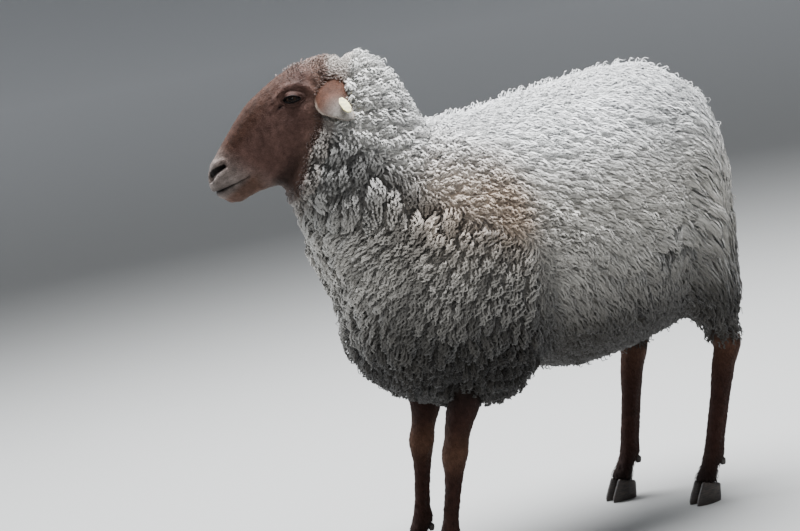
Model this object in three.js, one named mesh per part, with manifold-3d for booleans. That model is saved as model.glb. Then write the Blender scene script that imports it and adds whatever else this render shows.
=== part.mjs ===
// A red-headed, long-tailed ewe in full fleece, standing on all four feet with her head raised and turned a
// little to her right, and a tag in her left ear. Millimetres; +Z is up, she looks along -X, and her left side
// is towards -Y. The origin is on the floor, under the middle of her. The shape is the outside of the coat.

import * as THREE from "three";
import { mergeVertices } from "three/addons/utils/BufferGeometryUtils.js";
import Module from "manifold-3d";

const wasm = await Module();
wasm.setup();

// Driving dimensions
const gap = 0.4; // between neighbouring solids
const backHeight = 830; // floor to the top of the fleece behind the withers
const croupHeight = 862;
const barrelHalf = 240; // half of the greatest width
const headAt = [-588, 24, 890]; // the middle of the head, between the eyes
const headTurn = 20; // degrees to the right
const headSlope = 31; // degrees that the face slopes down
const eyeRadius = 15;
const earLength = 104;
const kneeHeight = 234;
const hockHeight = 292;
const fetlockHeight = 86;
const coronetHeight = 38; // where the hair meets the hoof
const foreFeetApart = 172;
const hindFeetApart = 190;

const fleece = new THREE.MeshStandardMaterial({ color: 0xc9bfb0, roughness: 0.95, metalness: 0 });
const redHair = new THREE.MeshStandardMaterial({ color: 0x8a5a45, roughness: 0.8, metalness: 0 });
const darkHair = new THREE.MeshStandardMaterial({ color: 0x5a362b, roughness: 0.8, metalness: 0 });
const hoofHorn = new THREE.MeshStandardMaterial({ color: 0x3b302a, roughness: 0.55, metalness: 0 });
const eyeGloss = new THREE.MeshStandardMaterial({ color: 0x1d1512, roughness: 0.1, metalness: 0 });
const tagPlastic = new THREE.MeshStandardMaterial({ color: 0xe6dc8c, roughness: 0.45, metalness: 0 });

// Solids

// A closed surface as a solid that can be cut, moved outwards by spare if another is to be cut clear of it.
function solid(geometry, matrix = new THREE.Matrix4(), spare = 0) {
  const bare = geometry.clone().applyMatrix4(matrix);
  bare.deleteAttribute("normal");
  bare.deleteAttribute("uv");
  const merged = mergeVertices(bare, 1e-3);
  merged.computeVertexNormals();
  const [points, normals] = [merged.getAttribute("position").array, merged.getAttribute("normal").array];
  const moved = points.map((value, i) => value + spare * normals[i]);
  const triangles = new Uint32Array(merged.index.array);
  return new wasm.Manifold(new wasm.Mesh({ numProp: 3, vertProperties: moved, triVerts: triangles }));
}

function largest(cut) {
  return cut.decompose().reduce((a, b) => (a.volume() > b.volume() ? a : b));
}

// The room on the near side of some planes. Each has the direction that it keeps and a point on it.
function zone(planes, spare = 0) {
  const everything = solid(new THREE.BoxGeometry(5000, 5000, 5000));
  return planes.reduce((room, [direction, point]) => {
    const normal = new THREE.Vector3(...direction).normalize();
    return room.trimByPlane(normal.toArray(), normal.dot(new THREE.Vector3(...point)) - spare);
  }, everything);
}

// What of a solid lies in a zone, and the rest of it beyond a thin cut.
function partOff(whole, planes) {
  return [largest(whole.intersect(zone(planes))), largest(whole.subtract(zone(planes, gap)))];
}

function meshOf(name, cut, material) {
  const found = cut.getMesh();
  const geometry = new THREE.BufferGeometry();
  geometry.setAttribute("position", new THREE.BufferAttribute(found.vertProperties, 3));
  geometry.setIndex(new THREE.BufferAttribute(found.triVerts, 1));
  geometry.computeVertexNormals();
  const mesh = new THREE.Mesh(geometry, material);
  mesh.name = name;
  return mesh;
}

// Lofts

// How far the surface stands out at a point for soft swellings and hollows, the same on both sides of the
// middle. Each has a centre, a reach along each axis and a height.
function swelling(point, lumps) {
  let height = 0;
  for (const lump of lumps) {
    const dx = (point.x - lump.at[0]) / lump.reach[0];
    const dy = (Math.abs(point.y) - lump.at[1]) / lump.reach[1];
    const dz = (point.z - lump.at[2]) / lump.reach[2];
    height += lump.height * Math.exp(-(dx * dx + dy * dy + dz * dz));
  }
  return height;
}

// A closed surface through stations that run towards -X or downwards. Over is a station's reach upwards from
// its centre, or forwards on one that runs down, under is its reach the other way, and half is its reach to
// each side. A higher power makes an outline squarer, and cup bends the sides of a flat one under.
function loft(stations, shape) {
  const { around, between, power, underPower = power, lumps = [], facing, cup = 0 } = shape;
  const spine = new THREE.CatmullRomCurve3(stations.map((s) => new THREE.Vector3(...s.at)));
  const sizes = new THREE.CatmullRomCurve3(stations.map((s) => new THREE.Vector3(s.over, s.under, s.half)));
  const rings = (stations.length - 1) * between;
  const positions = [];
  for (let i = 0; i <= rings; i++) {
    const centre = spine.getPoint(i / rings);
    const along = facing ? new THREE.Vector3(...facing) : spine.getTangent(i / rings);
    const up = new THREE.Vector3(0, 1, 0).cross(along).normalize();
    const side = along.clone().cross(up);
    const size = sizes.getPoint(i / rings);
    for (let j = 0; j < around; j++) {
      const angle = (j / around) * 2 * Math.PI;
      const [c, s] = [Math.cos(angle), Math.sin(angle)];
      const bend = 2 / (s > 0 ? power : underPower);
      const across = Math.sign(c) * Math.abs(c) ** bend * size.z;
      const height = Math.sign(s) * Math.abs(s) ** bend * (s > 0 ? size.x : size.y);
      const arm = side.clone().multiplyScalar(across).addScaledVector(up, height);
      const point = centre.clone().add(arm).addScaledVector(up, -cup * across * across);
      point.addScaledVector(arm.normalize(), swelling(point, lumps));
      positions.push(...point.toArray());
    }
  }
  const tips = positions.length / 3;
  positions.push(...spine.getPoint(0).toArray(), ...spine.getPoint(1).toArray());
  const faces = [];
  for (let j = 0; j < around; j++) {
    const next = (j + 1) % around;
    faces.push(tips, j, next);
    faces.push(tips + 1, rings * around + next, rings * around + j);
    for (let i = 0; i < rings; i++) {
      const [a, b] = [i * around + j, i * around + next];
      faces.push(a, b + around, b, a, a + around, b + around);
    }
  }
  const geometry = new THREE.BufferGeometry();
  geometry.setAttribute("position", new THREE.Float32BufferAttribute(positions, 3));
  geometry.setIndex(faces);
  return geometry;
}

// Trunk, from the buttocks to the chest

const trunkStations = [
  { at: [252, 0, 636], over: 28, under: 30, half: 22 },
  { at: [244, 0, 636], over: 88, under: 104, half: 64 },
  { at: [216, 0, 636], over: 152, under: 170, half: 110 },
  { at: [170, 0, 628], over: 200, under: 226, half: 146 },
  { at: [110, 0, 610], over: croupHeight - 614, under: 262, half: 172 },
  { at: [45, 0, 596], over: croupHeight - 599, under: 264, half: 198 },
  { at: [-20, 0, 584], over: croupHeight - 590, under: 262, half: 226 },
  { at: [-90, 0, 578], over: croupHeight - 594, under: 262, half: barrelHalf },
  { at: [-165, 0, 572], over: backHeight - 560, under: 258, half: barrelHalf - 6 },
  { at: [-250, 0, 568], over: backHeight - 568, under: 232, half: 224 },
  { at: [-340, 0, 565], over: backHeight - 565, under: 262, half: 210 },
  { at: [-430, 0, 550], over: 270, under: 240, half: 188 },
  { at: [-500, 0, 522], over: 220, under: 184, half: 154 },
  { at: [-548, 0, 500], over: 150, under: 118, half: 116 },
  { at: [-572, 0, 488], over: 84, under: 74, half: 72 },
  { at: [-583, 0, 484], over: 26, under: 26, half: 26 },
];
const trunkShape = {
  around: 28,
  between: 2,
  power: 2.2,
  underPower: 2.25,
  facing: [-1, 0, 0],
  lumps: [
    { at: [-395, 190, 520], reach: [95, 110, 150], height: 10 }, // shoulder
    { at: [-350, 130, 330], reach: [62, 60, 60], height: 38 }, // wool over the elbow
    { at: [-262, 200, 470], reach: [30, 150, 170], height: -12 }, // crease behind the shoulder
    { at: [70, 190, 640], reach: [50, 100, 110], height: -10 }, // hollow of the flank
  ],
};

// Neck, from the poll down to between the shoulders

const neckStations = [
  { at: [-482, 0, 972], over: 22, under: 22, half: 26 },
  { at: [-480, 0, 945], over: 54, under: 52, half: 62 },
  { at: [-482, 0, 900], over: 82, under: 76, half: 92 },
  { at: [-494, 0, 840], over: 122, under: 112, half: 112 },
  { at: [-500, 0, 760], over: 146, under: 156, half: 130 },
  { at: [-478, 0, 680], over: 150, under: 172, half: 146 },
  { at: [-446, 0, 600], over: 166, under: 170, half: 158 },
  { at: [-425, 0, 520], over: 160, under: 150, half: 150 },
  { at: [-412, 0, 450], over: 148, under: 140, half: 132 },
  { at: [-405, 0, 400], over: 116, under: 110, half: 104 },
  { at: [-402, 0, 366], over: 50, under: 50, half: 50 },
];
const neckShape = { around: 24, between: 1, power: 2.1, facing: [0, 0, -1] };

// Head, in its own frame: the nose towards -X, and the face level

const headStations = [
  { at: [117, 0, -6], over: 14, under: 18, half: 20 },
  { at: [109, 0, -12], over: 40, under: 38, half: 38 },
  { at: [97, 0, -16], over: 60, under: 50, half: 47 },
  { at: [70, 0, -20], over: 77, under: 70, half: 55 },
  { at: [40, 0, -22], over: 90, under: 88, half: 60 },
  { at: [5, 0, -22], over: 95, under: 97, half: 61 },
  { at: [-30, 0, -22], over: 95, under: 96, half: 58 },
  { at: [-65, 0, -20], over: 92, under: 89, half: 52 },
  { at: [-100, 0, -14], over: 77, under: 75, half: 44 },
  { at: [-130, 0, -8], over: 61, under: 58, half: 38 },
  { at: [-158, 0, -6], over: 50, under: 49, half: 34 },
  { at: [-184, 0, -8], over: 40, under: 42, half: 32 },
  { at: [-200, 0, -7], over: 29, under: 33, half: 27 },
  { at: [-208, 0, -4], over: 17, under: 19, half: 19 },
  { at: [-212, 0, -3], over: 6, under: 7, half: 8 },
];
const headShape = {
  around: 26,
  between: 1,
  facing: [-1, 0, 0],
  power: 2.4,
  underPower: 1.9,
  lumps: [
    { at: [8, 56, 46], reach: [26, 18, 16], height: 5 }, // brow over the eye
    { at: [-28, 56, 14], reach: [26, 18, 16], height: -4 }, // hollow before the eye
    { at: [0, 58, -52], reach: [46, 24, 42], height: 6 }, // cheek
    { at: [-112, 34, 14], reach: [36, 20, 24], height: -3 }, // beside the bridge of the nose
    { at: [-186, 28, 14], reach: [18, 16, 14], height: 3 }, // wing of the nostril
  ],
};
const eyeAt = { ahead: 0, out: 46.5, up: 26 };
const nostril = { ahead: 190, out: 20, up: 16, radii: [13, 7, 5] };
const mouthCorner = [-146, 0, -27];
const mouthPlane = [[-0.29, 0, -0.957], mouthCorner]; // facing down
const jawPlanes = [mouthPlane, [[-1, 0, 0.67], [-88, 0, -30]]];
const muzzlePlanes = [[[0.29, 0, 0.957], mouthCorner], [[-1, 0, 0.25], [-150, 0, 0]]];

const headFrame = new THREE.Group();
headFrame.position.set(...headAt);
headFrame.rotation.order = "ZYX";
headFrame.rotation.z = -THREE.MathUtils.degToRad(headTurn);
headFrame.rotation.y = -THREE.MathUtils.degToRad(headSlope);
headFrame.updateMatrix();
const headMatrix = headFrame.matrix;

function eyeball(radius) {
  return new THREE.SphereGeometry(radius, 14, 8);
}

function ball(radii, at, turn = [0, 0, 0], sides = 8) {
  const rotation = new THREE.Quaternion().setFromEuler(new THREE.Euler(...turn));
  const matrix = new THREE.Matrix4().compose(new THREE.Vector3(...at), rotation, new THREE.Vector3(...radii));
  return solid(new THREE.SphereGeometry(1, sides, Math.round(sides * 0.6)), matrix);
}

// Ears, each a cupped leaf that grows towards -X from its root, its back upwards. Lean is towards the nose.

const leaf = [
  { along: -8, lean: 0, half: 22, thick: 8 },
  { along: 8, lean: 1, half: 27, thick: 7 },
  { along: 30, lean: 3, half: 32, thick: 5 },
  { along: 52, lean: 2, half: 34, thick: 4 },
  { along: 73, lean: -3, half: 30, thick: 3.2 },
  { along: 89, lean: -12, half: 20, thick: 2.6 },
  { along: 99, lean: -18, half: 11, thick: 2 },
  { along: earLength, lean: -20, half: 4, thick: 1.2 },
];
const earShape = { around: 12, between: 1, power: 1.9, facing: [-1, 0, 0], cup: 0.011 };
const earRoot = { back: 58, out: 46, up: 42 }; // from the middle of the head, level
const earDown = {
  left: { out: 0.76, down: 0.64, back: -0.03 },
  right: { out: 0.86, down: 0.42, back: -0.26 },
};

function earGeometry(side) {
  const stations = leaf.map(({ along, lean, half, thick }) => ({
    at: [-along, -side * lean, -0.0012 * along * along],
    over: thick,
    under: thick,
    half,
  }));
  return loft(stations, earShape);
}

function earMatrix(side) {
  const { out, down, back } = side < 0 ? earDown.left : earDown.right;
  const along = new THREE.Vector3(back, side * out, -down).normalize();
  const outwards = new THREE.Vector3(0, side * down, out);
  const x = along.clone().negate();
  const y = outwards.clone().cross(x).normalize();
  const place = new THREE.Matrix4().makeBasis(x, y, x.clone().cross(y));
  place.setPosition(earRoot.back, side * earRoot.out, earRoot.up);
  const level = new THREE.Matrix4().makeRotationY(THREE.MathUtils.degToRad(headSlope));
  return level.multiply(place);
}

// Ear tag: a plate on the back of the ear, a pin through it, and a button inside

const tag = { length: 40, width: 15, thick: 1.8, pin: 2, button: 9, buttonThick: 2.5 };
const tagAt = { along: 65, lean: -11, lift: 4, drop: 15, turn: 0.235, pinUp: 10 };

// Legs, from the top down. Each names where its joints stand along the body.

const legs = [
  { name: "foreleg_left", fore: true, side: -1, top: -392, joint: -462, fetlock: -508 },
  { name: "foreleg_right", fore: true, side: 1, top: -392, joint: -437, fetlock: -470 },
  { name: "hindleg_left", fore: false, side: -1, top: 104, joint: 158, fetlock: 84 },
  { name: "hindleg_right", fore: false, side: 1, top: 84, joint: 69, fetlock: 17 },
];
const pasternReach = 24; // how far the foot stands before the fetlock
const legShape = { around: 10, between: 1, power: 2.1, facing: [0, 0, -1] };

function lowerLeg({ joint, fetlock }, jointHeight, y, stout) {
  const between = (share) => joint + (fetlock - joint) * share;
  const height = (share) => jointHeight + (fetlockHeight - jointHeight) * share;
  const foot = fetlock - pasternReach;
  return [
    { at: [between(0.22), y, height(0.22)], over: 19 * stout, under: 19 * stout, half: 18 * stout },
    { at: [between(0.45), y, height(0.45)], over: 15.5 * stout, under: 17 * stout, half: 14.5 * stout },
    { at: [between(0.78), y, height(0.78)], over: 15 * stout, under: 17 * stout, half: 14 * stout },
    { at: [fetlock, y, fetlockHeight], over: 18, under: 22, half: 19 },
    { at: [fetlock - 13, y, 66], over: 16.5, under: 18, half: 17.5 },
    { at: [foot - 1, y, 47], over: 21, under: 20, half: 22 },
    { at: [foot - 4, y, 24], over: 24, under: 20, half: 22 },
  ];
}

function foreStations(leg) {
  const y = (leg.side * foreFeetApart) / 2;
  const { top, joint } = leg;
  return [
    { at: [top + 12, y * 1.05, 450], over: 50, under: 50, half: 42 },
    { at: [top, y * 1.03, 395], over: 50, under: 52, half: 43 },
    { at: [(top + joint) / 2 + 6, y * 1.01, 330], over: 38, under: 40, half: 34 },
    { at: [joint + 16, y, 282], over: 27, under: 28, half: 26 },
    { at: [joint + 4, y, kneeHeight + 20], over: 24, under: 24, half: 23 },
    { at: [joint, y, kneeHeight], over: 25, under: 22, half: 23.5 },
    ...lowerLeg(leg, kneeHeight, y, 1),
  ];
}

function hindStations(leg) {
  const y = (leg.side * hindFeetApart) / 2;
  const { top, joint } = leg;
  const blend = (share) => top + (joint - top) * share;
  return [
    { at: [top, y * 0.9, 700], over: 60, under: 60, half: 40 },
    { at: [top, y * 1.02, 630], over: 90, under: 80, half: 62 },
    { at: [top - 5, y * 1.08, 545], over: 100, under: 90, half: 72 },
    { at: [top - 8, y * 1.1, 465], over: 92, under: 86, half: 70 },
    { at: [blend(0.25), y * 1.12, 405], over: 78, under: 82, half: 60 },
    { at: [blend(0.6), y * 1.06, 352], over: 50, under: 54, half: 43 },
    { at: [blend(0.88), y, hockHeight + 24], over: 34, under: 35, half: 28 },
    { at: [joint, y, hockHeight - 4], over: 26, under: 29, half: 23 },
    ...lowerLeg(leg, hockHeight, y, 1.3),
  ];
}

// Feet: two claws that bear on the floor, and two dewclaws behind the fetlock

const clawStations = [
  { at: [0, 0, 52], over: 16, under: 22, half: 9.5 },
  { at: [-3, 0, 34], over: 22, under: 24, half: 10.5 },
  { at: [-8, 0, 14], over: 29, under: 26, half: 11.5 },
  { at: [-10, 0, 0], over: 33, under: 26, half: 11.2 },
];
const clawShape = { around: 10, between: 1, power: 1.75, underPower: 2.5, facing: [0, 0, -1] };
const clawApart = 24.6;

// Tail, from the root down

const tailStations = [
  { at: [206, 0, 796], over: 12, under: 12, half: 24 },
  { at: [228, 0, 772], over: 34, under: 24, half: 42 },
  { at: [244, 0, 700], over: 40, under: 32, half: 50 },
  { at: [254, 0, 625], over: 40, under: 32, half: 52 },
  { at: [249, 0, 520], over: 36, under: 32, half: 50 },
  { at: [246, 0, 420], over: 30, under: 28, half: 44 },
  { at: [244, 0, 350], over: 22, under: 22, half: 34 },
  { at: [244, 0, 312], over: 12, under: 12, half: 18 },
  { at: [246, 0, 294], over: 4, under: 4, half: 6 },
];
const tailShape = { around: 12, between: 1, power: 2.2, facing: [0, 0, -1] };

// Putting the ewe together: her flesh is one solid, parted by thin cuts

const ewe = new THREE.Group();
ewe.add(headFrame);
const still = new THREE.Matrix4();

// Adds what is left of a solid to the ewe, or to a group within her, as a named mesh.
function add(name, cut, material, group = ewe) {
  const mesh = meshOf(name, cut, material);
  if (group === headFrame) mesh.geometry.applyMatrix4(headMatrix.clone().invert());
  group.add(mesh);
}

const trunkLoft = loft(trunkStations, trunkShape);
const neckLoft = loft(neckStations, neckShape);
const headLoft = loft(headStations, headShape);
const legLofts = legs.map((leg) => loft(leg.fore ? foreStations(leg) : hindStations(leg), legShape));
const trunkClear = solid(trunkLoft, still, gap);

const inHead = ([x, y, z]) => new THREE.Vector3(x, y, z).applyMatrix4(headMatrix).toArray();
const headWay = ([x, y, z]) => new THREE.Vector3(x, y, z).transformDirection(headMatrix).toArray();
const headPlane = ([direction, point]) => [headWay(direction), inHead(point)];
const sockets = [-1, 1].map((side) => {
  const matrix = new THREE.Matrix4().makeTranslation(-eyeAt.ahead, side * eyeAt.out, eyeAt.up);
  return solid(eyeball(eyeRadius + gap), headMatrix.clone().multiply(matrix));
});
const nostrils = [-1, 1].map((side) => {
  const turn = [0, -THREE.MathUtils.degToRad(headSlope), side * 0.5 - THREE.MathUtils.degToRad(headTurn)];
  return ball(nostril.radii, inHead([-nostril.ahead, side * nostril.out, nostril.up]), turn);
});
const hockCut = [[0, 0, -1], [0, 0, hockHeight + 18]];
const thighs = [2, 3].map((i) => partOff(solid(legLofts[i]), [hockCut])[1]);
const flesh = [solid(neckLoft), solid(headLoft, headMatrix), ...thighs].reduce(
  (whole, piece) => whole.add(piece),
  solid(trunkLoft),
);
const carved = [...sockets, ...nostrils].reduce((whole, hollow) => whole.subtract(hollow), flesh);

// Head
const occiput = headPlane([[-0.51, 0, 0.86], [116, 0, 7]]);
const [headWhole, belowHead] = partOff(carved, [occiput]);
const [lowerJaw, aboveJaw] = partOff(headWhole, jawPlanes.map(headPlane));
const [muzzle, skull] = partOff(aboveJaw, muzzlePlanes.map(headPlane));
add("head", skull, redHair, headFrame);
add("muzzle", muzzle, redHair, headFrame);
add("lower_jaw", lowerJaw, redHair, headFrame);
for (const [name, side] of [["eye_left", -1], ["eye_right", 1]]) {
  const eye = meshOf(name, solid(eyeball(eyeRadius)), eyeGloss);
  eye.position.set(-eyeAt.ahead, side * eyeAt.out, eyeAt.up);
  headFrame.add(eye);
}

// Ears and tag
const headClear = solid(headLoft, headMatrix, gap).add(solid(neckLoft, still, gap));
const [earLeft, earRight] = [-1, 1].map((side) => {
  const ear = solid(earGeometry(side), headMatrix.clone().multiply(earMatrix(side)));
  return largest(ear.subtract(headClear));
});
const tagSpot = new THREE.Matrix4().makeTranslation(-tagAt.along, tagAt.lean, 0);
const tagMatrix = headMatrix.clone().multiply(earMatrix(-1)).multiply(tagSpot);

// A disc that lies in the plane of the tag, its middle this far out from the ear's.
function disc(radius, thick, lift) {
  const upright = new THREE.Matrix4().makeRotationX(Math.PI / 2).setPosition(0, 0, lift);
  return solid(new THREE.CylinderGeometry(radius, radius, thick, 12), tagMatrix.clone().multiply(upright));
}

function tagPlate() {
  const [l, w] = [tag.length / 2, tag.width / 2];
  const corners = [[l, 0.4 * w], [0.45 * l, w], [-0.45 * l, w], [-l, 0.4 * w]];
  const outline = [...corners, ...corners.map(([x, y]) => [x, -y]).reverse()];
  const shape = new THREE.Shape(outline.map(([x, y]) => new THREE.Vector2(x, y)));
  const plate = new THREE.ExtrudeGeometry(shape, { depth: tag.thick, bevelEnabled: false });
  plate.translate(-tagAt.pinUp, 0, tagAt.lift);
  plate.rotateZ(tagAt.turn);
  return solid(plate, tagMatrix);
}

const pinTop = tagAt.lift + tag.thick / 2;
const pinEnd = gap - tagAt.drop + tag.buttonThick / 2;
const pin = disc(tag.pin, pinTop - pinEnd, (pinTop + pinEnd) / 2);
const pinHole = disc(tag.pin + gap, earLength, 0);
add("ear_left", largest(earLeft.subtract(pinHole)), redHair, headFrame);
add("ear_right", earRight, redHair, headFrame);
add("ear_tag_front", tagPlate().add(pin), tagPlastic, headFrame);
add("ear_tag_back", disc(tag.button, tag.buttonThick, -tagAt.drop), tagPlastic, headFrame);

// Neck, trunk, shoulders and thighs
const [neck, torso] = partOff(belowHead, [[[-0.66, 0, 0.75], [-345, 0, 838]]]);
const thighPlanes = (side) => [
  [[0, side, 0], [0, side * 60, 0]],
  [[1, 0, -0.25], [30, 0, 450]],
  [[0, 0, -1], [0, 0, 610]],
];
const shoulderPlanes = (side) => [
  [[0, side, 0], [0, side * 70, 0]],
  [[1, 0, 0.2], [-480, 0, 450]],
  [[-1, 0, 0.2], [-300, 0, 450]],
  [[0, 0, -1], [0, 0, 640]],
];
const [thighLeft, lessLeft] = partOff(torso, thighPlanes(-1));
const [thighRight, noThighs] = partOff(lessLeft, thighPlanes(1));
const [shoulderLeft, lessShoulder] = partOff(noThighs, shoulderPlanes(-1));
const [shoulderRight, core] = partOff(lessShoulder, shoulderPlanes(1));
const [rump, front] = partOff(core, [[[1, 0, -0.1], [40, 0, 600]]]);
const [chest, barrel] = partOff(front, [[[-1, 0, 0.1], [-290, 0, 600]]]);
add("neck", neck, fleece);
add("trunk_chest", chest, fleece);
add("trunk_barrel", barrel, fleece);
add("trunk_rump", rump, fleece);
add("shoulder_left", shoulderLeft, fleece);
add("shoulder_right", shoulderRight, fleece);
add("thigh_left", thighLeft, fleece);
add("thigh_right", thighRight, fleece);

// Tail
const besideTail = [trunkClear, ...[2, 3].map((i) => solid(legLofts[i], still, gap))];
const tail = besideTail.reduce((left, other) => left.subtract(other), solid(loft(tailStations, tailShape)));
add("tail", largest(tail), fleece);

// Lower legs and feet
legs.forEach((leg, index) => {
  const { name, fore, side, fetlock } = leg;
  const foot = fetlock - pasternReach;
  const out = (side * (fore ? foreFeetApart : hindFeetApart)) / 2;
  const coronet = [[-0.3, 0, -1], [foot, 0, coronetHeight]];
  const [, aboveFoot] = partOff(solid(legLofts[index]), [coronet]);
  const [pastern, abovePastern] = partOff(aboveFoot, [[[0.2, 0, -1], [fetlock, 0, fetlockHeight + 22]]]);
  const jointCut = fore ? [[0, 0, -1], [0, 0, kneeHeight - 22]] : hockCut;
  const [cannon, upper] = partOff(abovePastern, [jointCut]);
  add(`${name}_cannon`, cannon, darkHair);
  add(`${name}_pastern`, pastern, darkHair);
  if (fore) add(`${name}_forearm`, largest(upper.subtract(trunkClear)), darkHair);
  const claws = new THREE.Group();
  claws.position.set(foot, out, 0);
  ewe.add(claws);
  const legClear = solid(legLofts[index], new THREE.Matrix4().makeTranslation(-foot, -out, 0), gap);
  for (const [which, way] of [["outer", side], ["inner", -side]]) {
    const matrix = new THREE.Matrix4().makeTranslation(0, (way * clawApart) / 2, 0);
    const underCoronet = zone([[coronet[0], [0, 0, coronetHeight - gap]]]);
    const claw = solid(loft(clawStations, clawShape), matrix).intersect(underCoronet);
    add(`${name}_claw_${which}`, claw, hoofHorn, claws);
    const bud = ball([9, 6, 9], [pasternReach + 12, way * 11, fetlockHeight - 14], [0, 0.5, 0], 6);
    add(`${name}_dewclaw_${which}`, largest(bud.subtract(legClear)), hoofHorn, claws);
  }
});

// The origin goes under the middle of the ewe's box.
const box = new THREE.Box3().setFromObject(ewe, true);
const middle = box.getCenter(new THREE.Vector3());
ewe.position.set(-middle.x, -middle.y, 0);

export default ewe;
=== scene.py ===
import math

import bpy
import numpy as np
from mathutils import Matrix, Vector
from mathutils.bvhtree import BVHTree
from mathutils.kdtree import KDTree


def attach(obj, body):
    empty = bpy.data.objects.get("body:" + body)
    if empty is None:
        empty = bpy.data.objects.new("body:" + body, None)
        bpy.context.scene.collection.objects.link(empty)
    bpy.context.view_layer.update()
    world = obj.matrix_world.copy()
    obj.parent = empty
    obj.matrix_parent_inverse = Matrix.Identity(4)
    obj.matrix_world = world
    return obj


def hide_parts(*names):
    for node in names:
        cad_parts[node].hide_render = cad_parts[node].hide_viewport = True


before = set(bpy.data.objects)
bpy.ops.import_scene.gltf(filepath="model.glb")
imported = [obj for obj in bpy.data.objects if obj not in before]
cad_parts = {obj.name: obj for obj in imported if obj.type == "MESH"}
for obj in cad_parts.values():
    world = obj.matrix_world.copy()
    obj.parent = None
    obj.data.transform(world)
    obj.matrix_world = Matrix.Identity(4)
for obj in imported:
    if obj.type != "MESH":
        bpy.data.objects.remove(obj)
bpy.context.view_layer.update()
scene = bpy.context.scene
rng = np.random.default_rng(7)
mm = 0.001

legNames = ["foreleg_left", "foreleg_right", "hindleg_left", "hindleg_right"]
fleeceNodes = ["neck", "trunk_chest", "trunk_barrel", "trunk_rump", "shoulder_left", "shoulder_right",
               "thigh_left", "thigh_right", "tail"]
faceNodes = ["head", "muzzle", "lower_jaw"]
legNodes = [f"{leg}_{part}" for leg in legNames for part in ("cannon", "pastern")]
legNodes += ["foreleg_left_forearm", "foreleg_right_forearm"]
fleshNodes = fleeceNodes + faceNodes + legNodes


# Small tools

def smoothstep(low, high, value):
    t = np.clip((value - low) / (high - low), 0, 1)
    return t * t * (3 - 2 * t)


def bump(distance, reach):
    return np.exp(-(distance / reach) ** 2)


def unit(vectors):
    return vectors / np.maximum(np.linalg.norm(vectors, axis=-1, keepdims=True), 1e-9)


def mix(a, b, share):
    share = np.asarray(share)[..., None]
    return np.asarray(a) * (1 - share) + np.asarray(b) * share


def linear(red, green, blue):
    values = np.array([red, green, blue]) / 255
    return np.where(values < 0.04045, values / 12.92, ((values + 0.055) / 1.055) ** 2.4)


# Soft noise from a few waves, the same each run, between about -1 and 1.
def ripple(points, size, seed, waves=9):
    picked = np.random.default_rng(seed)
    ways = unit(picked.normal(size=(waves, 3))) * picked.uniform(0.6, 1.6, (waves, 1)) * (2 * math.pi / size)
    starts = picked.uniform(0, 2 * math.pi, waves)
    return np.sin(points @ ways.T + starts).sum(1) / (waves * 0.5)


def deselectAll():
    for item in bpy.context.selected_objects:
        item.select_set(False)


def makeActive(item):
    deselectAll()
    item.select_set(True)
    bpy.context.view_layer.objects.active = item


# The values of all the items of a mesh's collection, a row for each.
def readAll(items, key, width, kind=np.float32):
    flat = np.empty(len(items) * width, kind)
    items.foreach_get(key, flat)
    return flat.reshape(-1, width)


def positionsOf(mesh):
    return readAll(mesh.vertices, "co", 3).astype(float)


def setPositions(mesh, points):
    mesh.vertices.foreach_set("co", points.astype(np.float32).ravel())
    mesh.update()


def normalsOf(mesh):
    return readAll(mesh.vertex_normals, "vector", 3).astype(float)


def edgesOf(mesh):
    return readAll(mesh.edges, "vertices", 2, np.int32)


# The mean of each vertex's neighbours, for values of any width.
def neighbourMean(values, edges):
    count = len(values)
    flat = values.reshape(count, -1)
    degree = np.bincount(edges.ravel(), minlength=count)
    total = np.empty_like(flat)
    for k in range(flat.shape[1]):
        total[:, k] = np.bincount(edges[:, 0], flat[edges[:, 1], k], count)
        total[:, k] += np.bincount(edges[:, 1], flat[edges[:, 0], k], count)
    return (total / np.maximum(degree, 1)[:, None]).reshape(values.shape)


# Smooths without shrinking: each inward step is followed by an outward one.
def smoothed(points, edges, rounds, amount=1.0):
    amount = np.broadcast_to(amount, len(points))[:, None]
    for step in range(rounds):
        for strength in (0.5, -0.52):
            points = points + amount * strength * (neighbourMean(points, edges) - points)
    return points


def setAttribute(mesh, name, values, kind="FLOAT"):
    attribute = mesh.attributes.get(name) or mesh.attributes.new(name, kind, "POINT")
    if kind == "FLOAT_COLOR":
        values = np.concatenate([values, np.ones((len(values), 1))], 1)
        attribute.data.foreach_set("color", values.astype(np.float32).ravel())
    elif kind == "FLOAT_VECTOR":
        attribute.data.foreach_set("vector", values.astype(np.float32).ravel())
    else:
        attribute.data.foreach_set("value", values.astype(np.float32))


def readAttribute(mesh, name):
    return readAll(mesh.attributes[name].data, "value", 1)[:, 0].astype(float)


# Four-sided faces between each ring of points and the next.
def ringFaces(rings, around):
    faces = []
    for i in range(rings - 1):
        for j in range(around):
            k = (j + 1) % around
            faces.append((i * around + j, i * around + k, (i + 1) * around + k, (i + 1) * around + j))
    return faces


def meshFrom(name, points, faces):
    mesh = bpy.data.meshes.new(name)
    mesh.from_pydata(points.tolist(), [], faces)
    mesh.update()
    item = bpy.data.objects.new(name, mesh)
    scene.collection.objects.link(item)
    return item


# Joins other objects into one, which stays.
def joinInto(item, others):
    makeActive(item)
    for other in others:
        other.select_set(True)
    if others:
        bpy.ops.object.join()


# Runs one of Blender's mesh tools on the whole of an object.
def onWholeMesh(item, tool, **values):
    makeActive(item)
    bpy.ops.object.mode_set(mode="EDIT")
    bpy.ops.mesh.select_all(action="SELECT")
    tool(**values)
    bpy.ops.object.mode_set(mode="OBJECT")


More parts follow.
